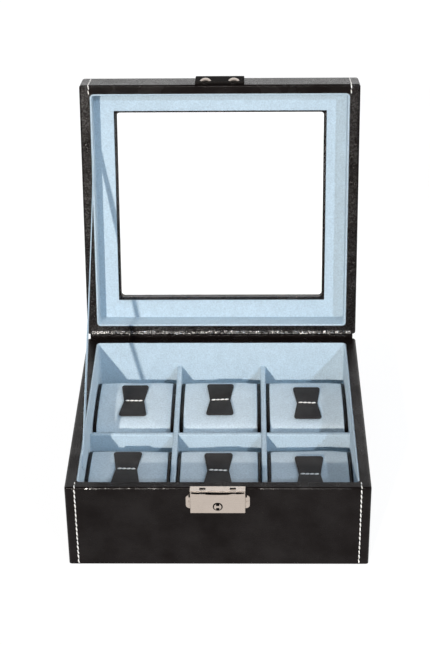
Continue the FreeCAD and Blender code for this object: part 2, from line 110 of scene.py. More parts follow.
def colour_property(name, description, hex_code):
    """A colour that a maker would change, given as an sRGB hex value."""
    return FloatVectorProperty(
        name=name, description=description, default=linear(hex_code), subtype="COLOR", min=0, max=1)


class WatchBoxSizes(bpy.types.PropertyGroup):
    """Sizes that a maker would change."""

    stitch_pitch: size_property("Stitch pitch", "Distance from one seam stitch to the next", 3.7)
    stitch_length: size_property("Stitch length", "Length of one seam stitch", 3.9)
    thread_width: size_property("Thread width", "Width of the seam thread", 0.95)
    tab_thread_width: size_property("Tab thread width", "Width of the thread that sews the tabs", 1.5)
    stitch_slant: FloatProperty(
        name="Stitch slant", description="How far each stitch turns from its seam",
        default=math.radians(7), subtype="ANGLE")
    tab_stitches: IntProperty(
        name="Tab stitches", description="Number of stitches across the waist of a tab", default=4, min=2)
    tab_stitch_run: size_property("Tab stitch run", "Length of the sewn line across a tab", 12.6)
    tab_thickness: size_property("Tab thickness", "Thickness of the leather tabs", 1.1)
    tab_lift: size_property("Tab lift", "How far the ends of a tab stand off its cushion", 0.8)
    cushion_swell: size_property(
        "Cushion swell", "The furthest that the stuffing may push a cushion's cover", 1.9)
    cushion_pressure: FloatProperty(
        name="Cushion pressure", description="Pressure of the stuffing in the cloth simulation",
        default=4.0)
    pucker_depth: size_property(
        "Pucker depth", "Height of the gathers in the leather beside the hinge", 0.12)
    edge_roll: size_property(
        "Edge roll", "Height of the folded leather along the front edge of the base", 0.22)


class WatchBoxColours(bpy.types.PropertyGroup):
    """Colours that a maker would change."""

    leather: colour_property("Leather", "Colour of the leather on the case", "#130e0d")
    tab_leather: colour_property("Tab leather", "Colour of the leather tabs", "#2a2726")
    lining: colour_property("Lining", "Colour of the velour on the walls and the dividers", "#bacbd6")
    # Lighter and greyer than the lining, partly as painted light on the cushions' upturned tops.
    cushion: colour_property("Cushion", "Colour of the velour on the cushions", "#ccd9e1")
    ribbon: colour_property("Ribbon", "Colour of the ribbon stay", "#bdd2e0")
    thread: colour_property("Thread", "Colour of the sewing thread", "#f8f4ee")
    nickel: colour_property("Nickel", "Colour of the lock and the rivets", "#d5c8bd")
    # Darker than the lock's nickel, partly as painted shade on the hasp.
    dark_nickel: colour_property("Dark nickel", "Colour of the hasp plate", "#403c3a")
    felt: colour_property("Felt", "Colour of the felt under the box", "#1a1a1c")


# Shared helpers
def add(tree, kind, inputs=None, **settings):
    """Adds a node, sets its options, and sets or links its inputs by name or number."""
    made = tree.nodes.new(kind)
    for name, value in settings.items():
        setattr(made, name, value)
    for name, value in (inputs or {}).items():
        if isinstance(value, bpy.types.NodeSocket):
            tree.links.new(value, made.inputs[name])
        else:
            made.inputs[name].default_value = value
    return made


def shade(colour, factor):
    """A colour made darker or lighter, with full alpha."""
    return (*(min(1.0, c * factor) for c in colour), 1.0)


def dress(nodes, material):
    """Gives CAD nodes a material."""
    for name in nodes:
        holder = frame["nodes"][name]
        if not holder.material_slots:
            holder.data.materials.append(material)
        for place in holder.material_slots:
            place.material = material


def spread(low, high, count):
    """So many evenly spaced values from low to high."""
    return [low + (high - low) * k / (count - 1) for k in range(count)]


def show(name, data):
    """A new object in the scene."""
    made = bpy.data.objects.new(name, data)
    bpy.context.scene.collection.objects.link(made)
    return made


def make_piece(name, vertices, faces, material, crease=40):
    """A mesh piece with outward faces, smooth apart from edges sharper than the crease angle."""
    mesh = bpy.data.meshes.new(name)
    mesh.from_pydata([tuple(v) for v in vertices], [], faces)
    work = bmesh.new()
    work.from_mesh(mesh)
    bmesh.ops.remove_doubles(work, verts=work.verts, dist=1e-7)
    bmesh.ops.recalc_face_normals(work, faces=work.faces)
    work.to_mesh(mesh)
    work.free()
    mesh.materials.append(material)
    mesh.shade_smooth()
    mesh.set_sharp_from_angle(angle=math.radians(crease))
    return show(name, mesh)


def settle(piece):
    """Turns a piece's modifiers into its plain mesh."""
    graph = bpy.context.evaluated_depsgraph_get()
    mesh = bpy.data.meshes.new_from_object(
        piece.evaluated_get(graph), preserve_all_data_layers=True, depsgraph=graph
    )
    piece.modifiers.clear()
    old = piece.data
    piece.data = mesh
    bpy.data.meshes.remove(old)
    mesh.name = piece.name


def grid_faces(rows, columns, start=0, wrap=False):
    """Quads over a grid of vertices that is stored row by row."""
    faces = []
    for r in range(rows - 1):
        for c in range(columns if wrap else columns - 1):
            n = (c + 1) % columns
            a, b = start + r * columns, start + (r + 1) * columns
            faces.append((a + c, a + n, b + n, b + c))
    return faces


def slab_faces(rows, columns):
    """Faces of a sheet with a thickness: a top grid, a bottom grid and the edge between them."""
    size = rows * columns
    faces = grid_faces(rows, columns)
    faces += [tuple(reversed(face)) for face in grid_faces(rows, columns, size)]
    border = list(range(columns))
    border += [r * columns + columns - 1 for r in range(1, rows)]
    border += [(rows - 1) * columns + c for c in range(columns - 2, -1, -1)]
    border += [r * columns for r in range(rows - 2, 0, -1)]
    for a, b in zip(border, border[1:] + border[:1]):
        faces.append((b, a, a + size, b + size))
    return faces


# Materials
def surfaced(tree, tint, dark, light, grain, strength, depth, sockets):
    """A shader whose colour follows one pattern, from dark to light, and whose relief follows another."""
    tone = add(tree, "ShaderNodeMix", {"Factor": tint.outputs[0], 6: dark, 7: light}, data_type="RGBA")
    relief = add(tree, "ShaderNodeBump", {
        "Height": grain.outputs[0], "Strength": strength, "Distance": depth,
    })
    return add(tree, "ShaderNodeBsdfPrincipled", {
        "Base Color": tone.outputs[2], "Normal": relief.outputs[0], **sockets,
    })


def grained_leather(tree, colour, grain, roughness, gloss, relief=0.35, wave=26 * MM, heave=0.42 * MM,
                    speckle=0.0, painted_sheen=0.0):
    """Chrome-tanned leather, dyed black and embossed with a fine pebble grain under a thin wax finish."""
    # The eye sees near black with a soft sheen that the grain breaks up, brightest along rolled edges.
    place = add(tree, "ShaderNodeTexCoord").outputs["Object"]
    # Real pebbles are about 0.8 mm; most are drawn up to twice as coarse so that they show.
    pebbles = {"Vector": place, "Scale": 1 / grain, "Randomness": 0.9}
    edges = add(tree, "ShaderNodeTexVoronoi", pebbles, feature="DISTANCE_TO_EDGE")
    valley = add(tree, "ShaderNodeMapRange", {"Value": edges.outputs["Distance"], "From Max": 0.3},
                 interpolation_type="SMOOTHSTEP")
    pores = add(tree, "ShaderNodeTexNoise", {"Vector": place, "Scale": 1 / (0.7 * MM), "Detail": 3.0})
    surface = add(tree, "ShaderNodeMath", {0: valley.outputs[0], 1: pores.outputs[0]}, operation="ADD")
    fine = add(tree, "ShaderNodeBump", {
        "Height": surface.outputs[0], "Strength": relief, "Distance": 0.14 * MM,
    })
    waves = add(tree, "ShaderNodeTexNoise", {"Vector": place, "Scale": 1 / wave, "Detail": 2.0})
    broad = add(tree, "ShaderNodeBump", {
        "Height": waves.outputs[0], "Strength": 1.0, "Distance": heave, "Normal": fine.outputs[0],
    })
    patches = add(tree, "ShaderNodeTexNoise", {"Vector": place, "Scale": 1 / (18 * MM), "Detail": 4.0})
    tone = add(tree, "ShaderNodeMix", {
        "Factor": patches.outputs[0], 6: shade(colour, 0.75), 7: shade(colour, 1.3),
    }, data_type="RGBA")
    polish = add(tree, "ShaderNodeMapRange", {
        "Value": patches.outputs[0], "To Min": roughness - 0.07, "To Max": roughness + 0.09,
    })
    # Handling has polished some patches of the finish more than others.
    shine = add(tree, "ShaderNodeMapRange", {
        "Value": patches.outputs[0], "From Min": 0.3, "From Max": 0.7,
        "To Min": 0.6 * gloss, "To Max": 1.4 * gloss,
    })
    # Single pebbles catch the light or don't, so the sheen is speckled.
    cells = add(tree, "ShaderNodeTexVoronoi", pebbles)
    chance = add(tree, "ShaderNodeSeparateColor", {0: cells.outputs["Color"]})
    caught = add(tree, "ShaderNodeMapRange", {
        "Value": chance.outputs[0], "From Min": 0.35, "To Min": 1 - speckle, "To Max": 1 + 1.6 * speckle,
    })
    glint = add(tree, "ShaderNodeMath", {0: shine.outputs[0], 1: caught.outputs[0]}, operation="MULTIPLY")
    # Pale flecks painted on the tops of some pebbles are painted sheen, standing in for light caught by
    # creased leather.
    sheen_flecks = add(tree, "ShaderNodeMapRange", {
        "Value": chance.outputs[1], "From Min": 0.3, "To Max": painted_sheen,
    })
    sheen_tone = add(tree, "ShaderNodeMix", {
        "Factor": sheen_flecks.outputs[0], 6: tone.outputs[2], 7: shade(linear("#b5b0ac"), 1.0),
    }, data_type="RGBA")
    return add(tree, "ShaderNodeBsdfPrincipled", {
        "Base Color": sheen_tone.outputs[2], "Roughness": polish.outputs[0], "IOR": 1.5,
        "Specular IOR Level": glint.outputs[0], "Normal": broad.outputs[0],
    })


def velour(tree, colour):
    """Knitted cotton velour, cropped short, with its nap brushed one way."""
    # The eye sees a soft matt blue that is mottled where the nap lies unevenly and pales at grazing edges.
    place = add(tree, "ShaderNodeTexCoord").outputs["Object"]
    nap = add(tree, "ShaderNodeTexNoise", {
        "Vector": place, "Scale": 1 / (9 * MM), "Detail": 3.0, "Roughness": 0.6, "Distortion": 0.8,
    })
    # Fibre tufts are about 0.3 mm; they are drawn at 1.1 mm so that they show.
    tufts = add(tree, "ShaderNodeTexNoise", {"Vector": place, "Scale": 1 / (1.1 * MM), "Detail": 2.0})
    blend = add(tree, "ShaderNodeMix", {"Factor": 0.72, 2: nap.outputs[0], 3: tufts.outputs[0]})
    lie = add(tree, "ShaderNodeMapRange", {"Value": blend.outputs[0], "From Min": 0.34, "From Max": 0.66})
    return surfaced(tree, lie, shade(colour, 0.88), shade(colour, 1.1), tufts, 0.45, 0.4 * MM, {
        "Roughness": 0.95, "IOR": 1.45, "Specular IOR Level": 0.1, "Sheen Weight": 0.12,
        "Sheen Roughness": 0.45, "Sheen Tint": shade(linear("#e6f1f8"), 1.0),
    })


def grosgrain(tree, colour):
    """Woven rayon grosgrain with ribs across its width."""
    # The eye sees fine cross ribs with a slight satin light on them.
    weave = add(tree, "ShaderNodeUVMap", uv_map="strip").outputs[0]
    # The strip's own map is in metres, so a rib of 1.2 mm sets the wave's scale.
    ribs = add(tree, "ShaderNodeTexWave", {"Vector": weave, "Scale": math.pi / 10 / (1.2 * MM)},
               bands_direction="Y")
    return surfaced(tree, ribs, shade(colour, 0.84), shade(colour, 1.06), ribs, 0.5, 0.15 * MM, {
        "Roughness": 0.6, "IOR": 1.48, "Sheen Weight": 0.2,
    })


def linen_thread(tree, colour):
    """Waxed two-ply linen thread."""
    # The eye sees a warm white cord with a slow twist and a faint wax shine.
    along = add(tree, "ShaderNodeUVMap", uv_map="thread").outputs[0]
    # Three turns of the ply show on each stitch.
    ply = add(tree, "ShaderNodeTexWave", {"Vector": along, "Scale": math.pi / 10 * 3, "Distortion": 0.6},
              bands_direction="DIAGONAL")
    return surfaced(tree, ply, shade(colour, 0.82), shade(colour, 1.05), ply, 0.4, 0.12 * MM, {
        "Roughness": 0.55, "IOR": 1.5, "Sheen Weight": 0.1,
    })


def brushed_metal(tree, colour, smooth, rough, edge=1.0, shade_dimming=1.0):
    """Pressed steel, brushed along its length and plated."""
    # The eye sees a metal whose reflections are drawn out by fine lengthwise scratches.
    place = add(tree, "ShaderNodeTexCoord").outputs["Object"]
    # Brush lines run along X: about 12 mm long and 0.25 mm apart.
    drawn = add(tree, "ShaderNodeMapping", {
        "Vector": place, "Scale": (1 / (12 * MM), 1 / (0.25 * MM), 1 / (0.25 * MM)),
    })
    lines = add(tree, "ShaderNodeTexNoise", {"Vector": drawn.outputs[0], "Scale": 1.0, "Detail": 2.0})
    tarnish = add(tree, "ShaderNodeTexNoise", {"Vector": place, "Scale": 1 / (7 * MM), "Detail": 3.0})
    satin = add(tree, "ShaderNodeMapRange", {"Value": lines.outputs[0], "To Min": smooth, "To Max": rough})
    # Below one, shade_dimming darkens the metal's colour as painted shade.
    dark, light = shade(colour, 0.9 * shade_dimming), shade(colour, 1.06 * shade_dimming)
    return surfaced(tree, tarnish, dark, light, lines, 0.12, 0.03 * MM, {
        "Metallic": 1.0, "Roughness": satin.outputs[0], "Specular Tint": (edge, edge, edge, 1),
    })


def float_glass(tree, colour):
    """Clear soda-lime float glass, 2 mm thick."""
    # The eye sees straight through it, with a clean reflection at a slant.
    pane = add(tree, "ShaderNodeBsdfPrincipled", {
        "Base Color": shade(colour, 1.0), "Roughness": 0.0, "IOR": 1.5, "Transmission Weight": 1.0,
    })
    clear = add(tree, "ShaderNodeBsdfTransparent", {"Color": shade(colour, 1.0)})
    # Lamps shine through the pane.
    shadow_ray = add(tree, "ShaderNodeLightPath").outputs["Is Shadow Ray"]
    return add(tree, "ShaderNodeMixShader", {"Fac": shadow_ray, 1: pane.outputs[0], 2: clear.outputs[0]})


def pressed_felt(tree, colour):
    """Needled wool felt."""
    # The eye sees a dull dark mat of crossed fibres.
    place = add(tree, "ShaderNodeTexCoord").outputs["Object"]
    # Fibres are drawn 1 mm apart so that they show.
    fibres = add(tree, "ShaderNodeTexNoise", {
        "Vector": place, "Scale": 1 / (1.0 * MM), "Detail": 4.0, "Distortion": 2.0,
    })
    return surfaced(tree, fibres, shade(colour, 0.6), shade(colour, 1.6), fibres, 0.6, 0.2 * MM, {
        "Roughness": 0.98, "Specular IOR Level": 0.1, "Sheen Weight": 0.15,
    })


def fibreboard(tree, colour, fleck):
    """Pressed wood fibre board, cut and left raw under its covering."""
    # The eye sees flecked brown fibre where a cut edge shows.
    place = add(tree, "ShaderNodeTexCoord").outputs["Object"]
    # Flecks are about 1.5 mm.
    flecks = add(tree, "ShaderNodeTexNoise", {"Vector": place, "Scale": 1 / (1.5 * MM), "Detail": 5.0})
    return surfaced(tree, flecks, shade(colour, 1.0), shade(fleck, 1.0), flecks, 0.4, 0.1 * MM, {
        "Roughness": 0.85,
    })


def pick(tree, lit, seen, mirrored):
    """Mixes three shaders: for light on the box, for the eye and glass, and for reflections."""
    rays = add(tree, "ShaderNodeLightPath").outputs
    sight = add(tree, "ShaderNodeMath", {
        0: rays["Is Camera Ray"], 1: rays["Is Transmission Ray"],
    }, operation="MAXIMUM")
    first = add(tree, "ShaderNodeMixShader", {
        "Fac": rays["Is Glossy Ray"], 1: lit.outputs[0], 2: mirrored.outputs[0],
    })
    return add(tree, "ShaderNodeMixShader", {
        "Fac": sight.outputs[0], 1: first.outputs[0], 2: seen.outputs[0],
    })


def studio_paint(tree, colour):
    """Matt paint on the studio floor."""
    # The eye sees a white that keeps a faint shadow; its reflection fades away from the box.
    paint = add(tree, "ShaderNodeBsdfDiffuse", {"Color": shade(colour, 1.0)})
    faint = add(tree, "ShaderNodeBsdfDiffuse", {"Color": (0.16, 0.16, 0.16, 1)})
    # Glass takes a little light away, so what is seen through it is a little brighter.
    through = add(tree, "ShaderNodeMath", {
        0: add(tree, "ShaderNodeLightPath").outputs["Is Transmission Ray"], 1: 0.2, 2: 0.92,
    }, operation="MULTIPLY_ADD")
    glow = add(tree, "ShaderNodeEmission", {"Color": (1, 1, 1, 1), "Strength": through.outputs[0]})
    pale = add(tree, "ShaderNodeAddShader", {0: faint.outputs[0], 1: glow.outputs[0]})
    place = add(tree, "ShaderNodeTexCoord").outputs["Object"]
    distance = add(tree, "ShaderNodeVectorMath", {0: place}, operation="LENGTH")
    fade = add(tree, "ShaderNodeMapRange", {
        "Value": distance.outputs["Value"], "From Min": 0.3, "From Max": 0.7,
        "To Min": 0.86, "To Max": 0.06,
    }, interpolation_type="SMOOTHSTEP")
    mirrored = add(tree, "ShaderNodeEmission", {"Color": (1, 1, 1, 1), "Strength": fade.outputs[0]})
    return pick(tree, paint, pale, mirrored)


# How each finish is made, its colour, which may be one of the properties, and its settings
finishes = {
    "black_grained_leather": (grained_leather, "leather", dict(grain=1.5 * MM, roughness=0.25, gloss=0.15)),
    # Finely creased where it is pulled round the lid
    "black_creased_leather": (grained_leather, "leather", dict(
        grain=0.95 * MM, roughness=0.28, gloss=0.4, relief=0.4, wave=20 * MM, heave=0.15 * MM,
        speckle=0.5)),
    # Crinkled beside the hinge, with pale flecks painted on as sheen
    "black_crinkled_leather": (grained_leather, "leather", dict(
        grain=1.6 * MM, roughness=0.22, gloss=0.9, relief=0.7, wave=2.6 * MM, heave=0.3 * MM,
        speckle=0.8, painted_sheen=0.24)),
    # Rubbed smooth along the folded front edge
    "black_burnished_leather": (grained_leather, "leather", dict(
        grain=1.5 * MM, roughness=0.2, gloss=0.7, relief=0.1, wave=8 * MM, heave=0.1 * MM)),
    "black_matt_leather": (grained_leather, "tab_leather", dict(grain=1.1 * MM, roughness=0.6, gloss=0.3)),
    "blue_lining_velour": (velour, "lining", {}),
    # The cushion velour is drawn lighter than the lining, partly as painted light on the cushion tops.
    "blue_cushion_velour": (velour, "cushion", {}),
    "blue_rayon_grosgrain": (grosgrain, "ribbon", {}),
    "waxed_linen_thread": (linen_thread, "thread", {}),
    # Warm nickel plate with a satin face
    "satin_nickel_plate": (brushed_metal, "nickel", dict(smooth=0.2, rough=0.36)),
    # Polished nickel on the rivets' domes, darkened to half as painted shade
    "polished_nickel_plate": (brushed_metal, "nickel", dict(smooth=0.16, rough=0.3, shade_dimming=0.5)),
    # Black nickel plate on the hasp, darkened partly as painted shade, and dim at a slant
    "dark_nickel_plate": (brushed_metal, "dark_nickel", dict(smooth=0.14, rough=0.26, edge=0.25)),
    # Unplated steel inside the lock, drawn near black as painted shade in its slots, keyhole and hollows
    "oiled_raw_steel": (brushed_metal, linear("#1c1a19"), dict(smooth=0.5, rough=0.7)),
    "clear_float_glass": (float_glass, linear("#ffffff"), {}),
    "black_wool_felt": (pressed_felt, "felt", {}),
    "raw_fibreboard": (fibreboard, linear("#6b5138"), dict(fleck=linear("#b39a78"))),
    "pale_studio_floor": (studio_paint, linear("#e8e8e8"), {}),
}


def finish(name):
    """The material of a finish, made once."""
    made = bpy.data.materials.get(name)
    if made is None:
        paint, colour, settings = finishes[name]
        if isinstance(colour, str):
            colour = getattr(bpy.context.scene.watch_box_colours, colour)
        made = bpy.data.materials.new(name)
        made.use_nodes = True
        tree = made.node_tree
        tree.nodes.clear()
        shader = paint(tree, colour, **settings)
        add(tree, "ShaderNodeOutputMaterial", {"Surface": shader.outputs[0]})
    return made


# Case and lining
# The folded front edge: its stop beside the lock, width, fading ends, slope, the depth of its ends and its
# back, how far a slack place may dip, and its waves
edge_stop = 21.0 * MM
edge_facet = 1.1 * MM
edge_fade = 9.0 * MM
edge_slope = math.radians(30)
edge_sink = 0.3 * MM
edge_bed = 0.5 * MM
edge_dip = 0.1 * MM
edge_slack_wave = 4.5 * MM
edge_crease_wave = 1.7 * MM
edge_rows, edge_columns = 7, 240
# The lining: steps round its rolled rim, its ripples, and how far the front one is tucked under the leather
roll_steps = 8
ripple_wave = 17 * MM
ripple_height = 0.12 * MM
front_tuck = 1.5 * MM


def rounded_loop(half_x, half_y, radius, arc_steps=6, run_steps=30):
    """Points round a rounded rectangle, anticlockwise seen from above."""
    arcs = []
    for quarter, (sx, sy) in enumerate(((1, 1), (-1, 1), (-1, -1), (1, -1))):
        centre = Vector((sx * (half_x - radius), sy * (half_y - radius)))
        turns = [math.pi / 2 * (quarter + step / arc_steps) for step in range(arc_steps + 1)]
        arcs.append([centre + radius * Vector((math.cos(t), math.sin(t))) for t in turns])
    points = []
    for arc, following in zip(arcs, arcs[1:] + arcs[:1]):
        points += arc
        points += [arc[-1].lerp(following[0], step / run_steps) for step in range(1, run_steps)]
    return points


def lining_ring(far_z, rim):
    """Vertices and faces of the lining round a cavity, from its far edge to its soft rounded rim."""
    sign = 1 if rim > far_z else -1
    roll = lining_thickness / 2
    profile = [(0, far_z)]
    for turn in spread(0, math.pi, roll_steps + 1):
        profile.append((roll - roll * math.cos(turn), rim - sign * roll * (1 - math.sin(turn))))
    profile.append((lining_thickness, far_z))
    vertices = []
    for inset, z in profile:
        for point in rounded_loop(cavity_half_x - inset, cavity_half_y - inset, cavity_radius - inset):
            ripple = noise.noise(Vector((point.x, point.y, z)) / ripple_wave)
            lift = ripple_height * ripple * sign if abs(z - far_z) > roll else 0
            if sign > 0 and z > far_z:
                behind = (point.y + cavity_half_y - inset) / (cavity_radius - inset)
                lift -= front_tuck * max(0.0, 1 - behind)
            vertices.append(Vector((point.x, point.y, z + lift)))
    columns = len(vertices) // len(profile)
    faces = grid_faces(len(profile), columns, wrap=True)
    last = (len(profile) - 1) * columns
    faces += [(last + c, last + (c + 1) % columns, (c + 1) % columns, c) for c in range(columns)]
    return vertices, faces


class WATCHBOX_OT_case(bpy.types.Operator):
    """Covers the boards with leather and the underside with felt"""

    bl_idname = "watchbox.case"
    bl_label = "Leather case"

    def execute(self, context):
        names = sorted(frame["nodes"])
        # The frame's edge under the glass is covered with the same leather.
        covered = [n for n in names if "_leather_" in n or n == "lid_top_frame"]
        dress(covered, finish("black_grained_leather"))
        dress(["lid_leather_wrap"], finish("black_creased_leather"))
        dress([n for n in names if n.endswith("_board")], finish("raw_fibreboard"))
        dress(["base_underside"], finish("black_wool_felt"))
        self.roll_edge(context.scene.watch_box_sizes.edge_roll)
        return {"FINISHED"}

    def roll_edge(self, height):
        """The fold of leather along the front edge of the base, on both sides of the lock."""
        centre = Vector((rim_radius - half_depth, rim_z - rim_radius))
        facing = Vector((-math.cos(edge_slope), math.sin(edge_slope)))
        along = Vector((math.sin(edge_slope), math.cos(edge_slope)))
        vertices, faces = [], []
        # The leather is pulled flatter on the right of the lock.
        for low, high, slackness in ((-seam_x, -edge_stop, 1.0), (edge_stop, seam_x, 0.4)):
            top, back = [], []
            for share in spread(0, 1, edge_rows):
                on_facet = 0 < share < 1
                for x in spread(low, high, edge_columns):
                    slack = noise.noise(Vector((x / edge_slack_wave, 0.7 * share, 2.1)))
                    crease = noise.noise(Vector((x / edge_crease_wave, 1.5 * share, 6.4)))
                    out = max(-edge_dip, height * (0.3 + slackness * (0.55 * slack + 0.25 * crease)))
                    shown = min(1.0, (x - low) / edge_fade, (high - x) / edge_fade) if on_facet else 0.0
                    out = out * shown - edge_sink * (1 - shown)
                    reach = (share - 0.5) * edge_facet
                    place = centre + facing * (rim_radius + out) + along * reach
                    inside = centre + facing * (rim_radius - edge_bed) + along * reach
                    top.append(Vector((x, place.x, place.y)))
                    back.append(Vector((x, inside.x, inside.y)))
            start = len(vertices)
            vertices += top + back
            faces += [tuple(start + v for v in face) for face in slab_faces(edge_rows, edge_columns)]
        fold = make_piece("folded_edge_leather", vertices, faces, finish("black_burnished_leather"))
        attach(fold, "base")


class WATCHBOX_OT_lining(bpy.types.Operator):
    """Lines the base and the lid, and covers the dividers with velour"""

    bl_idname = "watchbox.lining"
    bl_label = "Velour lining"

    def execute(self, context):
        cloth = finish("blue_lining_velour")
        flat = ["base_floor_lining", "lid_lining_panel", "divider_left", "divider_right", "divider_cross"]
        dress(flat, cloth)
        rings = (
            ("base", lining_low.z, rim_z - lining_drop, Matrix.Identity(4)),
            ("lid", lid_top_z - lid_panel_drop, lid_rim_z + lining_drop, open_lid),
        )
        for body, far_z, rim, place in rings:
            vertices, faces = lining_ring(far_z, rim)
            ring = make_piece(f"{body}_wall_lining", [place @ v for v in vertices], faces, cloth)
            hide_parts(*(f"{body}_lining_{side}" for side in ("front", "rear", "left", "right")))
            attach(ring, body)
        return {"FINISHED"}


# Cushions
cushion_length = 70.0 * MM
cushion_height = 34.4 * MM
cushion_crown = 1.6 * MM
cushion_nose = 10.0 * MM
cushion_heel = 9.0 * MM
cushion_end_draw = 2.0 * MM
cushion_end_drop = 1.2 * MM
end_thickness = 2.0 * MM
outline_points = 60
cushion_columns = 19
slack_cover = 0.8 * MM
bolster_arc, bolster_crown = 24, 20
# Where the cover starts to draw in towards its ends, as a share of half its width, and how sharply
draw_start, draw_power = 0.4, 2.4
lump_wave = 16 * MM
lump_height = 0.7 * MM
# The tuft under the tab: its depth, its reach and the patch that is sewn down
tuft_depth = 1.6 * MM
tuft_reach_x, tuft_reach_y = 8 * MM, 6 * MM
sewn_reach_x, sewn_reach_y = 7 * MM, 3 * MM
# Heights below which the sole stays flat and below which it is held
sole_flat, sole_held = 2 * MM, 0.5 * MM
end_round, end_round_steps = 0.6 * MM, 4
stuffing_frames = 20
# The cover's cloth
stuffed_cloth = {
    "quality": 5, "mass": 0.25, "tension_stiffness": 18, "compression_stiffness": 18,
    "shear_stiffness": 6, "bending_stiffness": 0.4, "vertex_group_mass": "held", "use_pressure": True,
}


def bolster_outline(length, height, count):
    """Evenly spaced (y, z) points round a bolster: flat below, round heels and noses, low crown on top."""
    reach, brow = length / 2, height - cushion_crown
    shoulder, heel = reach - cushion_nose, reach - cushion_heel
    half = [Vector((0, 0))]
    for turn in spread(-math.pi / 2, 0, bolster_arc + 1):
        half.append(Vector((
            heel + cushion_heel * math.cos(turn), cushion_heel + cushion_heel * math.sin(turn),
        )))
    for turn in spread(0, math.pi / 2, bolster_arc + 1):
        half.append(Vector((
            shoulder + cushion_nose * math.cos(turn), brow - cushion_nose + cushion_nose * math.sin(turn),
        )))
    for y in spread(shoulder, 0, bolster_crown + 1)[1:]:
        half.append(Vector((y, height - cushion_crown * (y / shoulder) ** 2)))
    path = half + [Vector((-p.x, p.y)) for p in half[-2::-1]]
    reached = [0.0]
    for a, b in zip(path, path[1:]):
        reached.append(reached[-1] + (b - a).length)
    points, k = [], 0
    for number in range(count):
        wanted = reached[-1] * number / count
        while reached[k + 1] < wanted:
            k += 1
        share = (wanted - reached[k]) / (reached[k + 1] - reached[k])
        points.append(path[k].lerp(path[k + 1], share))
    return points


def cushion_place(number):
    """The middle of a cushion's sole and half the width of its pad."""
    low, high = (Vector(corner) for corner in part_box(f"cushion_pad_{number}"))
    return Vector(((low.x + high.x) / 2, (low.y + high.y) / 2, low.z)), (high.x - low.x) / 2


def slack_cushion(number, material):
    """The cover of a cushion before it is stuffed, a little small, with its held points in a group."""
    centre, half_x = cushion_place(number)
    drift = Vector((7.3 * number, 3.1 * number, 1.7 * number))
    vertices, held = [], []
    for column in range(cushion_columns):
        share = math.sin(math.pi / 2 * (2 * column / (cushion_columns - 1) - 1))
        draw = max(0.0, (abs(share) - draw_start) / (1 - draw_start)) ** draw_power
        length = cushion_length - cushion_end_draw * draw - 2 * slack_cover * (1 - draw)
        height = cushion_height - cushion_end_drop * draw - slack_cover * (1 - draw)
        x = share * half_x
        for y, z in bolster_outline(length, height, outline_points):
            lump = noise.noise(Vector((x, y, z)) / lump_wave + drift) * lump_height * (1 - draw)
            away = Vector((0, y, z - height / 2)).normalized() if z > sole_flat else Vector()
            on_top = z > height / 2
            tuft = math.exp(-(x / tuft_reach_x) ** 2 - (y / tuft_reach_y) ** 2) if on_top else 0
            sewn = on_top and abs(x) < sewn_reach_x and abs(y) < sewn_reach_y
            at_end = column in (0, cushion_columns - 1)
            if at_end or sewn or z < sole_held:
                held.append(len(vertices))
            vertices.append(centre + Vector((x, y, z - tuft_depth * tuft)) + away * lump)
    faces = grid_faces(cushion_columns, outline_points, wrap=True)
    last = (cushion_columns - 1) * outline_points
    faces.append(tuple(range(outline_points)))
    faces.append(tuple(range(last + outline_points - 1, last - 1, -1)))
    pad = make_piece(f"velour_cushion_{number}", vertices, faces, material, crease=180)
    group = pad.vertex_groups.new(name="held")
    group.add(held, 1.0, "REPLACE")
    return pad


def stuff(pads, pressure, swell):
    """Blows the covers up by cloth simulation and caps how far each point moves."""
    scene = bpy.context.scene
    starts = {pad.name: [v.co.copy() for v in pad.data.vertices] for pad in pads}
    for pad in pads:
        cloth = pad.modifiers.new("stuffing", "CLOTH")
        for name, value in stuffed_cloth.items():
            setattr(cloth.settings, name, value)
        cloth.settings.uniform_pressure_force = pressure
        cloth.settings.effector_weights.gravity = 0
        cloth.point_cache.frame_start = 1
        cloth.point_cache.frame_end = stuffing_frames
    for step in range(1, stuffing_frames + 1):
        scene.frame_set(step)
    for pad in pads:
        settle(pad)
        for vertex, start in zip(pad.data.vertices, starts[pad.name]):
            shift = vertex.co - start
            if shift.length > swell:
                vertex.co = start + shift * (swell / shift.length)
    scene.frame_set(1)


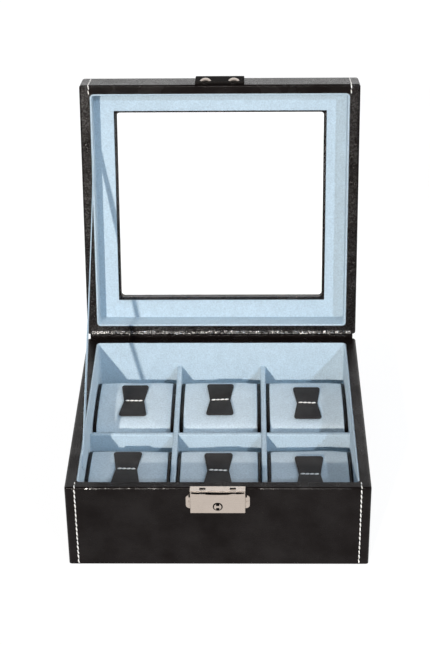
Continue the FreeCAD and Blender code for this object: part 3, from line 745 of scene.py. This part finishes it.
class WATCHBOX_OT_cushions(bpy.types.Operator):
    """Makes the stuffed cushions with their leather ends"""

    bl_idname = "watchbox.cushions"
    bl_label = "Cushions"

    def execute(self, context):
        sizes = context.scene.watch_box_sizes
        cloth = finish("blue_cushion_velour")
        pads = [slack_cushion(number, cloth) for number in cushion_numbers]
        stuff(pads, sizes.cushion_pressure, sizes.cushion_swell)
        for number, pad in zip(cushion_numbers, pads):
            finer = pad.modifiers.new("finer", "SUBSURF")
            finer.levels = 1
            finer.render_levels = 1
            settle(pad)
            pad.vertex_groups.clear()
            pad.data.shade_smooth()
            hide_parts(f"cushion_pad_{number}")
            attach(pad, f"cushion_{number}")
            self.make_ends(number)
        return {"FINISHED"}

    def make_ends(self, number):
        """Two stiff leather ends with rounded edges."""
        centre, half_x = cushion_place(number)
        outline = bolster_outline(
            cushion_length - cushion_end_draw, cushion_height - cushion_end_drop, outline_points
        )
        middle = Vector((0, (cushion_height - cushion_end_drop) / 2))
        stations = []
        for turn in spread(0, math.pi / 2, end_round_steps + 1):
            stations.append((end_round * (1 - math.sin(turn)), end_round * (1 - math.cos(turn))))
        stations += [(inset, end_thickness - depth) for inset, depth in reversed(stations)]
        vertices, faces = [], []
        for side in (-1, 1):
            start = len(vertices)
            for inset, depth in stations:
                for p in outline:
                    q = p - (p - middle).normalized() * inset
                    vertices.append(centre + Vector((side * (half_x + depth), q.x, q.y)))
            faces += grid_faces(len(stations), outline_points, start, wrap=True)
            last = len(vertices) - outline_points
            faces.append(tuple(range(start, start + outline_points)))
            faces.append(tuple(range(last + outline_points - 1, last - 1, -1)))
        ends = make_piece(f"leather_cushion_ends_{number}", vertices, faces, finish("black_grained_leather"))
        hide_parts(f"cushion_ends_{number}")
        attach(ends, f"cushion_{number}")


# Tabs
tab_half_length = 20.0 * MM
tab_half_width = 10.4 * MM
tab_half_waist = 7.5 * MM
tab_corner = 2.6 * MM
tab_columns = 11
tab_straight_steps, tab_corner_steps = 9, 4
waist_round = 1.0 * MM
# Room under a tab, how near the heights it rests on are, its curl, its soft edge, and its stitches' rise
tab_room = 0.03 * MM
tab_span = 2.5 * MM
tab_curl = 0.25 * MM
curl_wave = 15 * MM
tab_edge = 0.28 * MM
tab_sharp = math.radians(50)
tab_stitch_rise = 0.1 * MM
tab_stitch_slant = math.radians(5)
# How far each tab sits from the middle of its cushion, to the right and to the rear, in millimetres, and its
# seam's turn in degrees
tab_lay = {
    1: (-1.0, -0.4, -1.0), 2: (-0.4, 1.0, 4.0), 3: (0.6, -3.4, -3.0),
    4: (-1.3, 3.2, -2.0), 5: (-0.6, 1.6, -4.0), 6: (-0.4, -2.8, -2.0),
}


def tab_stations():
    """Distances along a tab from its waist to its end, closer together at the rounded corner."""
    straight = tab_half_length - tab_corner
    turns = spread(0, math.pi / 2, tab_corner_steps + 1)[1:]
    corner = [straight + tab_corner * math.sin(turn) for turn in turns]
    return spread(0, straight, tab_straight_steps + 1) + corner


def tab_reach(y):
    """Half the width of a tab at a distance from its waist."""
    soft = math.hypot(y, waist_round) - waist_round
    reach = tab_half_waist + (tab_half_width - tab_half_waist) * soft / tab_half_length
    into = max(0.0, y - (tab_half_length - tab_corner))
    return reach - tab_corner + math.sqrt(max(0.0, tab_corner ** 2 - into ** 2))


class WATCHBOX_OT_tabs(bpy.types.Operator):
    """Lays a waisted leather tab on each cushion and sews it down"""

    bl_idname = "watchbox.tabs"
    bl_label = "Leather tabs"

    def execute(self, context):
        sizes = context.scene.watch_box_sizes
        for number in cushion_numbers:
            pad = bpy.data.objects.get(f"velour_cushion_{number}")
            if pad is None:
                raise RuntimeError("make the cushions before their tabs")
            waist = self.make_tab(number, pad, sizes)
            self.sew(number, waist, sizes)
        return {"FINISHED"}

    def make_tab(self, number, pad, sizes):
        """One tab that lies on its cushion; returns the middle of its waist's upper face."""
        centre, _ = cushion_place(number)
        shift = Vector(tab_lay[number][:2]) * MM
        surface = BVHTree.FromPolygons(
            [v.co for v in pad.data.vertices], [tuple(p.vertices) for p in pad.data.polygons]
        )

        def pad_top(x, y):
            """Height of the cushion's top."""
            hit = surface.ray_cast(Vector((x, y, centre.z + 2 * cushion_height)), Vector((0, 0, -1)))[0]
            if hit is None:
                raise RuntimeError(f"tab {number} reaches past its cushion")
            return hit.z

        half = tab_stations()
        stations = [-y for y in reversed(half[1:])] + half
        shares = spread(-1, 1, tab_columns)
        rows, heights = [], []
        for along in stations:
            reach = tab_reach(abs(along))
            row = [centre.xy + shift + Vector((share * reach, along)) for share in shares]
            rows.append(row)
            heights.append(max(pad_top(p.x, p.y) for p in row))
        level = []
        for along in stations:
            near = [h for h, other in zip(heights, stations) if abs(other - along) < tab_span]
            lift = sizes.tab_lift * (abs(along) / tab_half_length) ** 2
            level.append(max(near) + tab_room + lift)
        top, bottom = [], []
        for row, z, along in zip(rows, level, stations):
            for share, p in zip(shares, row):
                curl = tab_curl * share ** 2 * noise.noise(Vector((number, along / curl_wave, share)))
                z_here = z + max(0.0, curl)
                top.append(Vector((p.x, p.y, z_here + sizes.tab_thickness)))
                bottom.append(Vector((p.x, p.y, z_here)))
        faces = slab_faces(len(stations), tab_columns)
        tab = make_piece(f"leather_tab_{number}", top + bottom, faces, finish("black_matt_leather"))
        edge = tab.modifiers.new("soft edge", "BEVEL")
        edge.width = tab_edge
        edge.segments = 2
        edge.limit_method = "ANGLE"
        edge.angle_limit = tab_sharp
        settle(tab)
        tab.data.shade_smooth()
        tab.data.set_sharp_from_angle(angle=tab_sharp)
        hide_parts(f"cushion_tab_{number}")
        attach(tab, f"cushion_{number}")
        middle = len(stations) // 2
        return Vector((centre.x + shift.x, centre.y + shift.y, level[middle] + sizes.tab_thickness))

    def sew(self, number, waist, sizes):
        """The stitches across a tab's waist."""
        half = (sizes.tab_stitch_run - sizes.tab_stitch_run / sizes.tab_stitches) / 2
        spin = Matrix.Rotation(math.radians(tab_lay[number][2]), 3, "Z")
        points = [waist + spin @ Vector((x, 0, tab_stitch_rise)) for x in (-half, half)]
        # A pitch a little short of the exact one keeps the last stitch.
        pitch = 0.999 * 2 * half / (sizes.tab_stitches - 1)
        thread = sew_paths(
            f"tab_stitches_{number}", [(points, [Vector((0, 0, 1))] * 2)], pitch, pitch * 1.06,
            sizes.tab_thread_width, tab_stitch_slant, number,
        )
        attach(thread, f"cushion_{number}")


# Stitches
def stitch_tree():
    """Node tree that lays slanted stitches along sewn paths."""
    name = "Seam stitches"
    if name in bpy.data.node_groups:
        return bpy.data.node_groups[name]
    tree = bpy.data.node_groups.new(name, "GeometryNodeTree")
    sockets = (
        ("Path", "INPUT", "NodeSocketGeometry"), ("Pitch", "INPUT", "NodeSocketFloat"),
        ("Stitch length", "INPUT", "NodeSocketFloat"), ("Thread width", "INPUT", "NodeSocketFloat"),
        ("Slant", "INPUT", "NodeSocketFloat"), ("Seed", "INPUT", "NodeSocketInt"),
        ("Thread", "INPUT", "NodeSocketMaterial"), ("Stitches", "OUTPUT", "NodeSocketGeometry"),
    )
    for label, way, kind in sockets:
        tree.interface.new_socket(label, in_out=way, socket_type=kind)
    given = add(tree, "NodeGroupInput").outputs
    path = add(tree, "GeometryNodeMeshToCurve", {"Mesh": given["Path"]})
    even = add(tree, "GeometryNodeResampleCurve", {"Curve": path.outputs[0], "Length": given["Pitch"]},
               mode="LENGTH")
    outward = add(tree, "GeometryNodeInputNamedAttribute", {"Name": "outward"}, data_type="FLOAT_VECTOR")
    stand = add(tree, "FunctionNodeAlignRotationToVector", {"Vector": outward.outputs[0]}, axis="Z")
    along = add(tree, "FunctionNodeAlignRotationToVector", {
        "Rotation": stand.outputs[0], "Vector": add(tree, "GeometryNodeInputTangent").outputs[0],
    }, axis="X", pivot_axis="Z")
    sway = add(tree, "FunctionNodeRandomValue", {
        2: -0.05, 3: 0.05, "Seed": given["Seed"],
    }, data_type="FLOAT")
    lean = add(tree, "ShaderNodeMath", {0: given["Slant"], 1: sway.outputs[1]}, operation="ADD")
    lean_turn = add(tree, "ShaderNodeCombineXYZ", {"Z": lean.outputs[0]})
    lean_by = add(tree, "FunctionNodeEulerToRotation", {"Euler": lean_turn.outputs[0]})
    turned = add(tree, "FunctionNodeRotateRotation", {
        "Rotation": along.outputs[0], "Rotate By": lean_by.outputs[0],
    }, rotation_space="LOCAL")
    flat = add(tree, "ShaderNodeMath", {0: given["Thread width"], 1: 0.7}, operation="MULTIPLY")
    size = add(tree, "ShaderNodeCombineXYZ", {
        "X": given["Stitch length"], "Y": given["Thread width"], "Z": flat.outputs[0],
    })
    bead = add(tree, "GeometryNodeMeshUVSphere", {"Segments": 10, "Rings": 7, "Radius": 0.5})
    mapped = add(tree, "GeometryNodeStoreNamedAttribute", {
        "Geometry": bead.outputs["Mesh"], "Name": "thread", "Value": bead.outputs["UV Map"],
    }, data_type="FLOAT2", domain="CORNER")
    smooth = add(tree, "GeometryNodeSetShadeSmooth", {"Geometry": mapped.outputs[0]})
    laid = add(tree, "GeometryNodeInstanceOnPoints", {
        "Points": even.outputs[0], "Instance": smooth.outputs[0], "Rotation": turned.outputs[0],
        "Scale": size.outputs[0],
    })
    real = add(tree, "GeometryNodeRealizeInstances", {"Geometry": laid.outputs[0]})
    dyed = add(tree, "GeometryNodeSetMaterial", {"Geometry": real.outputs[0], "Material": given["Thread"]})
    add(tree, "NodeGroupOutput", {"Stitches": dyed.outputs[0]})
    return tree


def sew_paths(name, paths, pitch, length, width, slant, seed):
    """A piece with the stitches of several paths, each given as points and outward directions."""
    mesh = bpy.data.meshes.new(name)
    points, edges, outward = [], [], []
    for line, normals in paths:
        start = len(points)
        points += line
        outward += normals
        edges += [(start + k, start + k + 1) for k in range(len(line) - 1)]
    mesh.from_pydata([tuple(p) for p in points], edges, [])
    facing = mesh.attributes.new("outward", "FLOAT_VECTOR", "POINT")
    facing.data.foreach_set("vector", [c for normal in outward for c in normal])
    piece = show(name, mesh)
    tree = stitch_tree()
    values = {
        "Pitch": pitch, "Stitch length": length, "Thread width": width, "Slant": slant, "Seed": seed,
        "Thread": finish("waxed_linen_thread"),
    }
    modifier = piece.modifiers.new("stitches", "NODES")
    modifier.node_group = tree
    for item in tree.interface.items_tree:
        if item.in_out == "INPUT" and item.name in values:
            modifier[item.identifier] = values[item.name]
    settle(piece)
    if not piece.data.polygons:
        raise RuntimeError(f"{name} has no stitches")
    return piece


# The seams: how far they sink on the rims, where they start above the floor and below the lid's top, how far
# they stop short of the lining, and the steps round a rim
seam_sink = 0.2 * MM
seam_foot = 2.6 * MM
seam_head = 4.6 * MM
seam_stop = 1.2 * MM
seam_steps = 8


def seam_path(side, wall_from, rim, inward):
    """A seam up the front wall and over the rim: points and outward directions, on the closed box."""
    x = side * seam_x
    way = 1 if rim > wall_from else -1
    front = -half_depth
    path = [(Vector((x, front, wall_from)), Vector((0, -1, 0)))]
    path.append((Vector((x, front, rim - way * rim_radius)), Vector((0, -1, 0))))
    centre = Vector((x, front + rim_radius, rim - way * rim_radius))
    for turn in spread(0, math.pi / 2, seam_steps + 1)[1:-1]:
        away = Vector((0, -math.cos(turn), way * math.sin(turn)))
        path.append((centre + away * (rim_radius - seam_sink * math.sin(turn)), away))
    up = Vector((0, 0, way))
    path.append((Vector((x, front + rim_radius, rim)) - up * seam_sink, up))
    path.append((Vector((x, front + inward, rim)) - up * seam_sink, up))
    return path


class WATCHBOX_OT_seams(bpy.types.Operator):
    """Sews the front corners of the base and the lid"""

    bl_idname = "watchbox.seams"
    bl_label = "Sewn seams"

    def execute(self, context):
        sizes = context.scene.watch_box_sizes
        wall = half_depth - cavity_half_y
        runs = (
            ("base", seam_foot, rim_z, Matrix.Identity(4)),
            ("lid", lid_top_z - seam_head, lid_rim_z, open_lid),
        )
        for seed, (body, wall_from, rim, place) in enumerate(runs):
            paths = []
            for side in (-1, 1):
                path = seam_path(side, wall_from, rim, wall - seam_stop)
                turn = place.to_3x3()
                paths.append(([place @ p for p, _ in path], [turn @ n for _, n in path]))
            thread = sew_paths(
                f"{body}_seam_stitches", paths, sizes.stitch_pitch, sizes.stitch_length,
                sizes.thread_width, sizes.stitch_slant, seed,
            )
            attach(thread, body)
        return {"FINISHED"}


# Hinge
hinge_inset = 2.2 * MM
hinge_flap_base = 18.0 * MM
hinge_flap_lid = 16.0 * MM
hinge_leather_thickness = 1.0 * MM
# How much thinner the strip's edges are pared, over what share of a flap, and the crimps in its fold
hinge_pare = 0.35 * MM
hinge_pare_share = 0.06
hinge_folds = 10
hinge_columns = 260
crimp_wave = 2.4 * MM
crimp_depth = 0.2 * MM
# The gathers: their reach in from the rear face, slope, ends, backing and waves
gather_reach = 2.9 * MM
gather_slope = 0.2
gather_steps = 10
gather_inset = 3.5 * MM
gather_columns = 640
gather_cover = 0.05 * MM
gather_backing = 0.2 * MM
gather_dip = 0.04 * MM
fold_wave_x, fold_wave_y = 1.9 * MM, 1.6 * MM
crease_wave_x, crease_wave_y = 0.8 * MM, 0.7 * MM


class WATCHBOX_OT_hinge(bpy.types.Operator):
    """Makes the leather hinge strip and the gathered leather beside it"""

    bl_idname = "watchbox.hinge"
    bl_label = "Leather hinge"

    def execute(self, context):
        self.make_strip()
        self.make_gathers(context.scene.watch_box_sizes)
        return {"FINISHED"}

    def make_strip(self):
        """The strip that joins the rear of the base and the lid, round a fold on the hinge line."""
        near = hinge_point.y - half_depth
        far = near - hinge_leather_thickness
        profile = []
        for share in (0.0, 0.02, 0.06, 0.3, 0.6, 0.9, 1.0):
            drop = hinge_flap_base * (1 - share)
            thin = hinge_pare * max(0.0, 1 - share / hinge_pare_share)
            profile.append((0.0, -drop, thin))
        for step in range(1, hinge_folds):
            profile.append((open_angle * step / hinge_folds, 0.0, 0.0))
        for share in (0.0, 0.1, 0.4, 0.7, 0.94, 0.98, 1.0):
            thin = hinge_pare * max(0.0, 1 - (1 - share) / hinge_pare_share)
            profile.append((open_angle, hinge_flap_lid * share, thin))
        half = half_width - hinge_inset
        axis = Vector(hinge_joint["axis"])
        inner, outer = [], []
        for turn, rise, thin in profile:
            spin = Matrix.Rotation(turn, 3, axis)
            folded = 0 < turn < open_angle
            for x in spread(-half, half, hinge_columns):
                wave = noise.noise(Vector((x / crimp_wave, turn * 2, 3.3)))
                crimp = wave * crimp_depth if folded else 0.0
                for store, back in ((inner, near), (outer, far + thin)):
                    local = Vector((0, -back + crimp, rise))
                    store.append(Vector((x, hinge_point.y, hinge_point.z)) + spin @ local)
        faces = slab_faces(len(profile), hinge_columns)
        strip = make_piece("leather_hinge_strip", inner + outer, faces, finish("black_grained_leather"))
        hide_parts("hinge_leather")
        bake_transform(strip)

    def make_gathers(self, sizes):
        """Leather gathered round the lid's rear rim, where it is pulled into the hinge."""
        # The roll's profile: distance in from the rear face, and rise from the lid's rim
        flank = [gather_reach * (1 - step / gather_steps) for step in range(gather_steps - 1)]
        profile = [(inset, -gather_slope * (gather_reach - inset)) for inset in flank]
        crest_inset, crest = profile[-1]
        for share in (0.25, 0.5, 0.75, 1.0):
            turn = math.pi / 2 * share
            inset = crest_inset * math.cos(turn) + gather_cover
            profile.append((inset, crest + (rim_radius - crest) * (1 - math.cos(turn))))
        half = half_width - gather_inset
        top, back = [], []
        for row, (inset, rise) in enumerate(profile):
            bell = math.sin(math.pi * (row + 0.5) / len(profile)) ** 0.5
            for x in spread(-half, half, gather_columns):
                fold = noise.noise(Vector((x / fold_wave_x, inset / fold_wave_y, 5.0)))
                crease = noise.noise(Vector((x / crease_wave_x, inset / crease_wave_y, 9.0)))
                pucker = sizes.pucker_depth * bell * (0.75 * fold + 0.3 * crease)
                low = min(gather_dip, rise - pucker) if row < len(flank) else rise
                y = half_depth - inset
                behind = lid_rim_z + max(low, 0) + rim_radius
                top.append(open_lid @ Vector((x, y, lid_rim_z + low)))
                back.append(open_lid @ Vector((x, y - gather_backing, behind)))
        faces = slab_faces(len(profile), gather_columns)
        gathers = make_piece("gathered_hinge_leather", top + back, faces, finish("black_crinkled_leather"))
        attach(gathers, "lid")


# Ribbon stay
ribbon_width = 10.0 * MM
ribbon_thickness = 0.4 * MM
ribbon_tail = 6.0 * MM
ribbon_low = Vector((0, -54.0, 57.0)) * MM
ribbon_high_closed = Vector((0, -41.5, 68.0)) * MM
ribbon_rows, ribbon_columns = 70, 5
ribbon_room = 0.02 * MM
# The ribbon is twisted only above the cushions, which are lifted past it: from this share of its length up
twist_start = 0.35
twist_most = math.radians(4)
# Its ends lie flat for this many tail lengths, and come free over so many more
flat_tails, free_tails = 3, 4


class WATCHBOX_OT_ribbon(bpy.types.Operator):
    """Stretches the ribbon stay from the base to the open lid"""

    bl_idname = "watchbox.ribbon"
    bl_label = "Ribbon stay"

    def execute(self, context):
        wall = cavity_half_x - lining_thickness
        low, high = ribbon_low, open_lid @ ribbon_high_closed
        along = (high - low).normalized()
        across = Vector((0, -along.z, along.y))
        start, end = low - along * ribbon_tail, high + along * ribbon_tail
        length = (end - start).length
        front, back = [], []
        for share in spread(0, 1, ribbon_rows):
            free = min(1.0, max(0.0, min(share, 1 - share) * length / ribbon_tail - flat_tails) / free_tails)
            free = free * free * (3 - 2 * free)
            above = max(0.0, share - twist_start) / (1 - twist_start)
            twist = twist_most * math.sin(math.pi * above) * free
            for offset in spread(-ribbon_width / 2, ribbon_width / 2, ribbon_columns):
                x = -wall + ribbon_room + offset * math.sin(twist)
                place = start.lerp(end, share) + across * offset * math.cos(twist)
                back.append(Vector((x, place.y, place.z)))
                front.append(Vector((x + ribbon_thickness, place.y, place.z)))
        faces = slab_faces(ribbon_rows, ribbon_columns)
        strip = make_piece("ribbon_stay", front + back, faces, finish("blue_rayon_grosgrain"))
        self.map_strip(strip, start, along, across)
        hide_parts("lid_ribbon")
        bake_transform(strip)
        return {"FINISHED"}

    def map_strip(self, strip, start, along, across):
        """A map in metres: across the ribbon, then along it."""
        layer = strip.data.uv_layers.new(name="strip")
        for loop in strip.data.loops:
            place = strip.data.vertices[loop.vertex_index].co - start
            layer.data[loop.index].uv = (place.dot(across), place.dot(along))


# Metal and glass
lock_sheet = 0.7 * MM
plated_skin = 0.2 * MM


class WATCHBOX_OT_metalwork(bpy.types.Operator):
    """Plates the lock, the key barrel and the hasp with nickel"""

    bl_idname = "watchbox.metalwork"
    bl_label = "Lock and hasp"

    def execute(self, context):
        dress(["lock_back_plate", "lock_pins"], finish("satin_nickel_plate"))
        # The bolt and spring are drawn near black, partly as painted shade inside the lock.
        dress(["lock_bolt", "lock_spring"], finish("oiled_raw_steel"))
        dress(["hasp_plate"], finish("dark_nickel_plate"))
        dress(["hasp_rivets"], finish("polished_nickel_plate"))
        low, high = (Vector(corner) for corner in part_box("lock_case"))
        barrel_low = Vector(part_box("key_barrel")[0])

        # The case is near black inside and on its cut front edge, as painted shade in its slots and under
        # its top.
        def inside_case(face):
            """Whether a face lies deeper than the outer skin of the case and its cut front edge."""
            p = face.center
            cut_edge = face.normal.z > 0.7 and p.y < low.y + lock_sheet
            beside = min(p.x - low.x, high.x - p.x, p.z - low.z, high.z - p.z, p.y - low.y)
            return beside > plated_skin and not cut_edge

        self.plated_with_shaded_inside("lock_case", "nickel_lock_case", "base", inside_case)
        # The barrel is near black on all but its front face, as painted shade in the gap round it.
        self.plated_with_shaded_inside(
            "key_barrel", "nickel_key_barrel", "key_barrel",
            lambda face: face.center.y > barrel_low.y + plated_skin / 4,
        )
        return {"FINISHED"}

    def plated_with_shaded_inside(self, node, name, body, is_inside):
        """A copy of a pressed piece that is plated outside and near black inside, as painted shade in its
        hollows.
        """
        mesh = frame["nodes"][node].data.copy()
        mesh.name = name
        mesh.materials.clear()
        mesh.materials.append(finish("satin_nickel_plate"))
        mesh.materials.append(finish("oiled_raw_steel"))
        for face in mesh.polygons:
            face.material_index = 1 if is_inside(face) else 0
        piece = show(name, mesh)
        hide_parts(node)
        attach(piece, body)


class WATCHBOX_OT_window(bpy.types.Operator):
    """Glazes the lid"""

    bl_idname = "watchbox.window"
    bl_label = "Glass window"

    def execute(self, context):
        dress(["glass_pane"], finish("clear_float_glass"))
        return {"FINISHED"}


# Stage
camera_place = Vector((19.721, -963.217, 705.779)) * MM
camera_pitch, camera_yaw, camera_roll = (math.radians(a) for a in (30.713, -1.318, -0.766))
camera_lens, camera_sensor = 91.45, 36.0
sun_angle = math.radians(1.4)
# Direction the light travels in, its strength and its colour
suns = {
    "key_sun": (Vector((1, 3.5, -1.5)), 2.45, "#fff8f0"),
    "fill_sun": (Vector((-1, 1.97, -1.3)), 0.95, "#d8ecff"),
}
# Large soft lamps, one above and one on the right
soft_suns = {
    "top_sun": (Vector((0.1, 0.0, -1)), 0.41, "#ffffff"),
    "side_sun": (Vector((-1, 0.1, -0.4)), 1.05, "#fff6ee"),
}
soft_angle = math.radians(40)
sky_strength = 0.15
floor_half = 8.0
floor_drop = 0.2 * MM


class WATCHBOX_OT_stage(bpy.types.Operator):
    """Sets the camera, the lamps, the sky and a pale floor"""

    bl_idname = "watchbox.stage"
    bl_label = "Studio stage"

    def execute(self, context):
        scene = context.scene
        scene.view_settings.view_transform = "Standard"
        self.place_camera(scene)
        for name, (direction, strength, colour) in suns.items():
            self.hang_sun(name, direction, strength, colour, sun_angle)
        # The soft lamps light cloth and aren't mirrored.
        for name, (direction, strength, colour) in soft_suns.items():
            self.hang_sun(name, direction, strength, colour, soft_angle).visible_glossy = False
        self.make_sky(scene)
        self.lay_floor()
        return {"FINISHED"}

    def hang_sun(self, name, direction, strength, colour, angle):
        """A lamp whose light travels in one direction."""
        lamp = bpy.data.lights.new(name, "SUN")
        lamp.energy = strength
        lamp.color = linear(colour)
        lamp.angle = angle
        holder = show(name, lamp)
        holder.rotation_euler = direction.to_track_quat("-Z", "Y").to_euler()
        return holder

    def place_camera(self, scene):
        """The camera that was fitted to the box's corners."""
        ahead = Vector((
            math.sin(camera_yaw) * math.cos(camera_pitch), math.cos(camera_yaw) * math.cos(camera_pitch),
            -math.sin(camera_pitch),
        ))
        right = Vector((math.cos(camera_yaw), -math.sin(camera_yaw), 0))
        up = right.cross(ahead)
        axis_x = right * math.cos(camera_roll) + up * math.sin(camera_roll)
        axis_y = up * math.cos(camera_roll) - right * math.sin(camera_roll)
        turn = Matrix((axis_x, axis_y, -ahead)).transposed().to_4x4()
        lens = bpy.data.cameras.new("photo_camera")
        lens.lens = camera_lens
        lens.sensor_width = camera_sensor
        lens.clip_start = 0.01
        holder = show("photo_camera", lens)
        holder.matrix_world = Matrix.Translation(camera_place) @ turn
        scene.camera = holder

    def make_sky(self, scene):
        """A white surround, dark in front of the box for reflections, that lights the box gently."""
        world = bpy.data.worlds.new("studio_white")
        world.use_nodes = True
        tree = world.node_tree
        tree.nodes.clear()
        light = add(tree, "ShaderNodeBackground", {
            "Color": shade(linear("#cbe3ff"), 1.0), "Strength": sky_strength,
        })
        white = add(tree, "ShaderNodeBackground", {"Color": (1, 1, 1, 1), "Strength": 1.1})
        # In a sky, Generated is the direction looked in, so a negative Y is the side that the lock faces.
        sides = add(tree, "ShaderNodeSeparateXYZ", {
            0: add(tree, "ShaderNodeTexCoord").outputs["Generated"],
        })
        room = add(tree, "ShaderNodeMapRange", {
            "Value": sides.outputs["Y"], "From Min": 0.1, "From Max": 0.6, "To Min": 0.08, "To Max": 1.7,
        }, interpolation_type="SMOOTHSTEP")
        mirrored = add(tree, "ShaderNodeBackground", {"Color": (1, 1, 1, 1), "Strength": room.outputs[0]})
        both = pick(tree, light, white, mirrored)
        add(tree, "ShaderNodeOutputWorld", {"Surface": both.outputs[0]})
        scene.world = world

    def lay_floor(self):
        """A pale floor just under the box."""
        z = -floor_drop
        corners = [(-floor_half, -floor_half, z), (floor_half, -floor_half, z),
                   (floor_half, floor_half, z), (-floor_half, floor_half, z)]
        mesh = bpy.data.meshes.new("studio_floor")
        mesh.from_pydata(corners, [], [(0, 1, 2, 3)])
        mesh.materials.append(finish("pale_studio_floor"))
        floor = show("studio_floor", mesh)


steps = (
    WATCHBOX_OT_stage, WATCHBOX_OT_case, WATCHBOX_OT_lining, WATCHBOX_OT_cushions, WATCHBOX_OT_tabs,
    WATCHBOX_OT_seams, WATCHBOX_OT_hinge, WATCHBOX_OT_ribbon, WATCHBOX_OT_metalwork, WATCHBOX_OT_window,
)


class WATCHBOX_PT_panel(bpy.types.Panel):
    """Lists the steps that dress the watch box"""

    bl_idname = "WATCHBOX_PT_panel"
    bl_label = "Watch box"
    bl_space_type = "VIEW_3D"
    bl_region_type = "UI"
    bl_category = "Watch box"

    def draw(self, context):
        for step in steps:
            self.layout.operator(step.bl_idname)
        for group in (context.scene.watch_box_sizes, context.scene.watch_box_colours):
            for name in group.__annotations__:
                self.layout.prop(group, name)


classes = (WatchBoxSizes, WatchBoxColours, *steps, WATCHBOX_PT_panel)


def register():
    for entry in classes:
        bpy.utils.register_class(entry)
    bpy.types.Scene.watch_box_sizes = PointerProperty(type=WatchBoxSizes)
    bpy.types.Scene.watch_box_colours = PointerProperty(type=WatchBoxColours)


def unregister():
    del bpy.types.Scene.watch_box_sizes
    del bpy.types.Scene.watch_box_colours
    for entry in reversed(classes):
        bpy.utils.unregister_class(entry)


def main():
    """Dresses the whole box."""
    register()
    for step in steps:
        getattr(bpy.ops.watchbox, step.bl_idname.split(".")[1])()


if __name__ == "__main__":
    main()
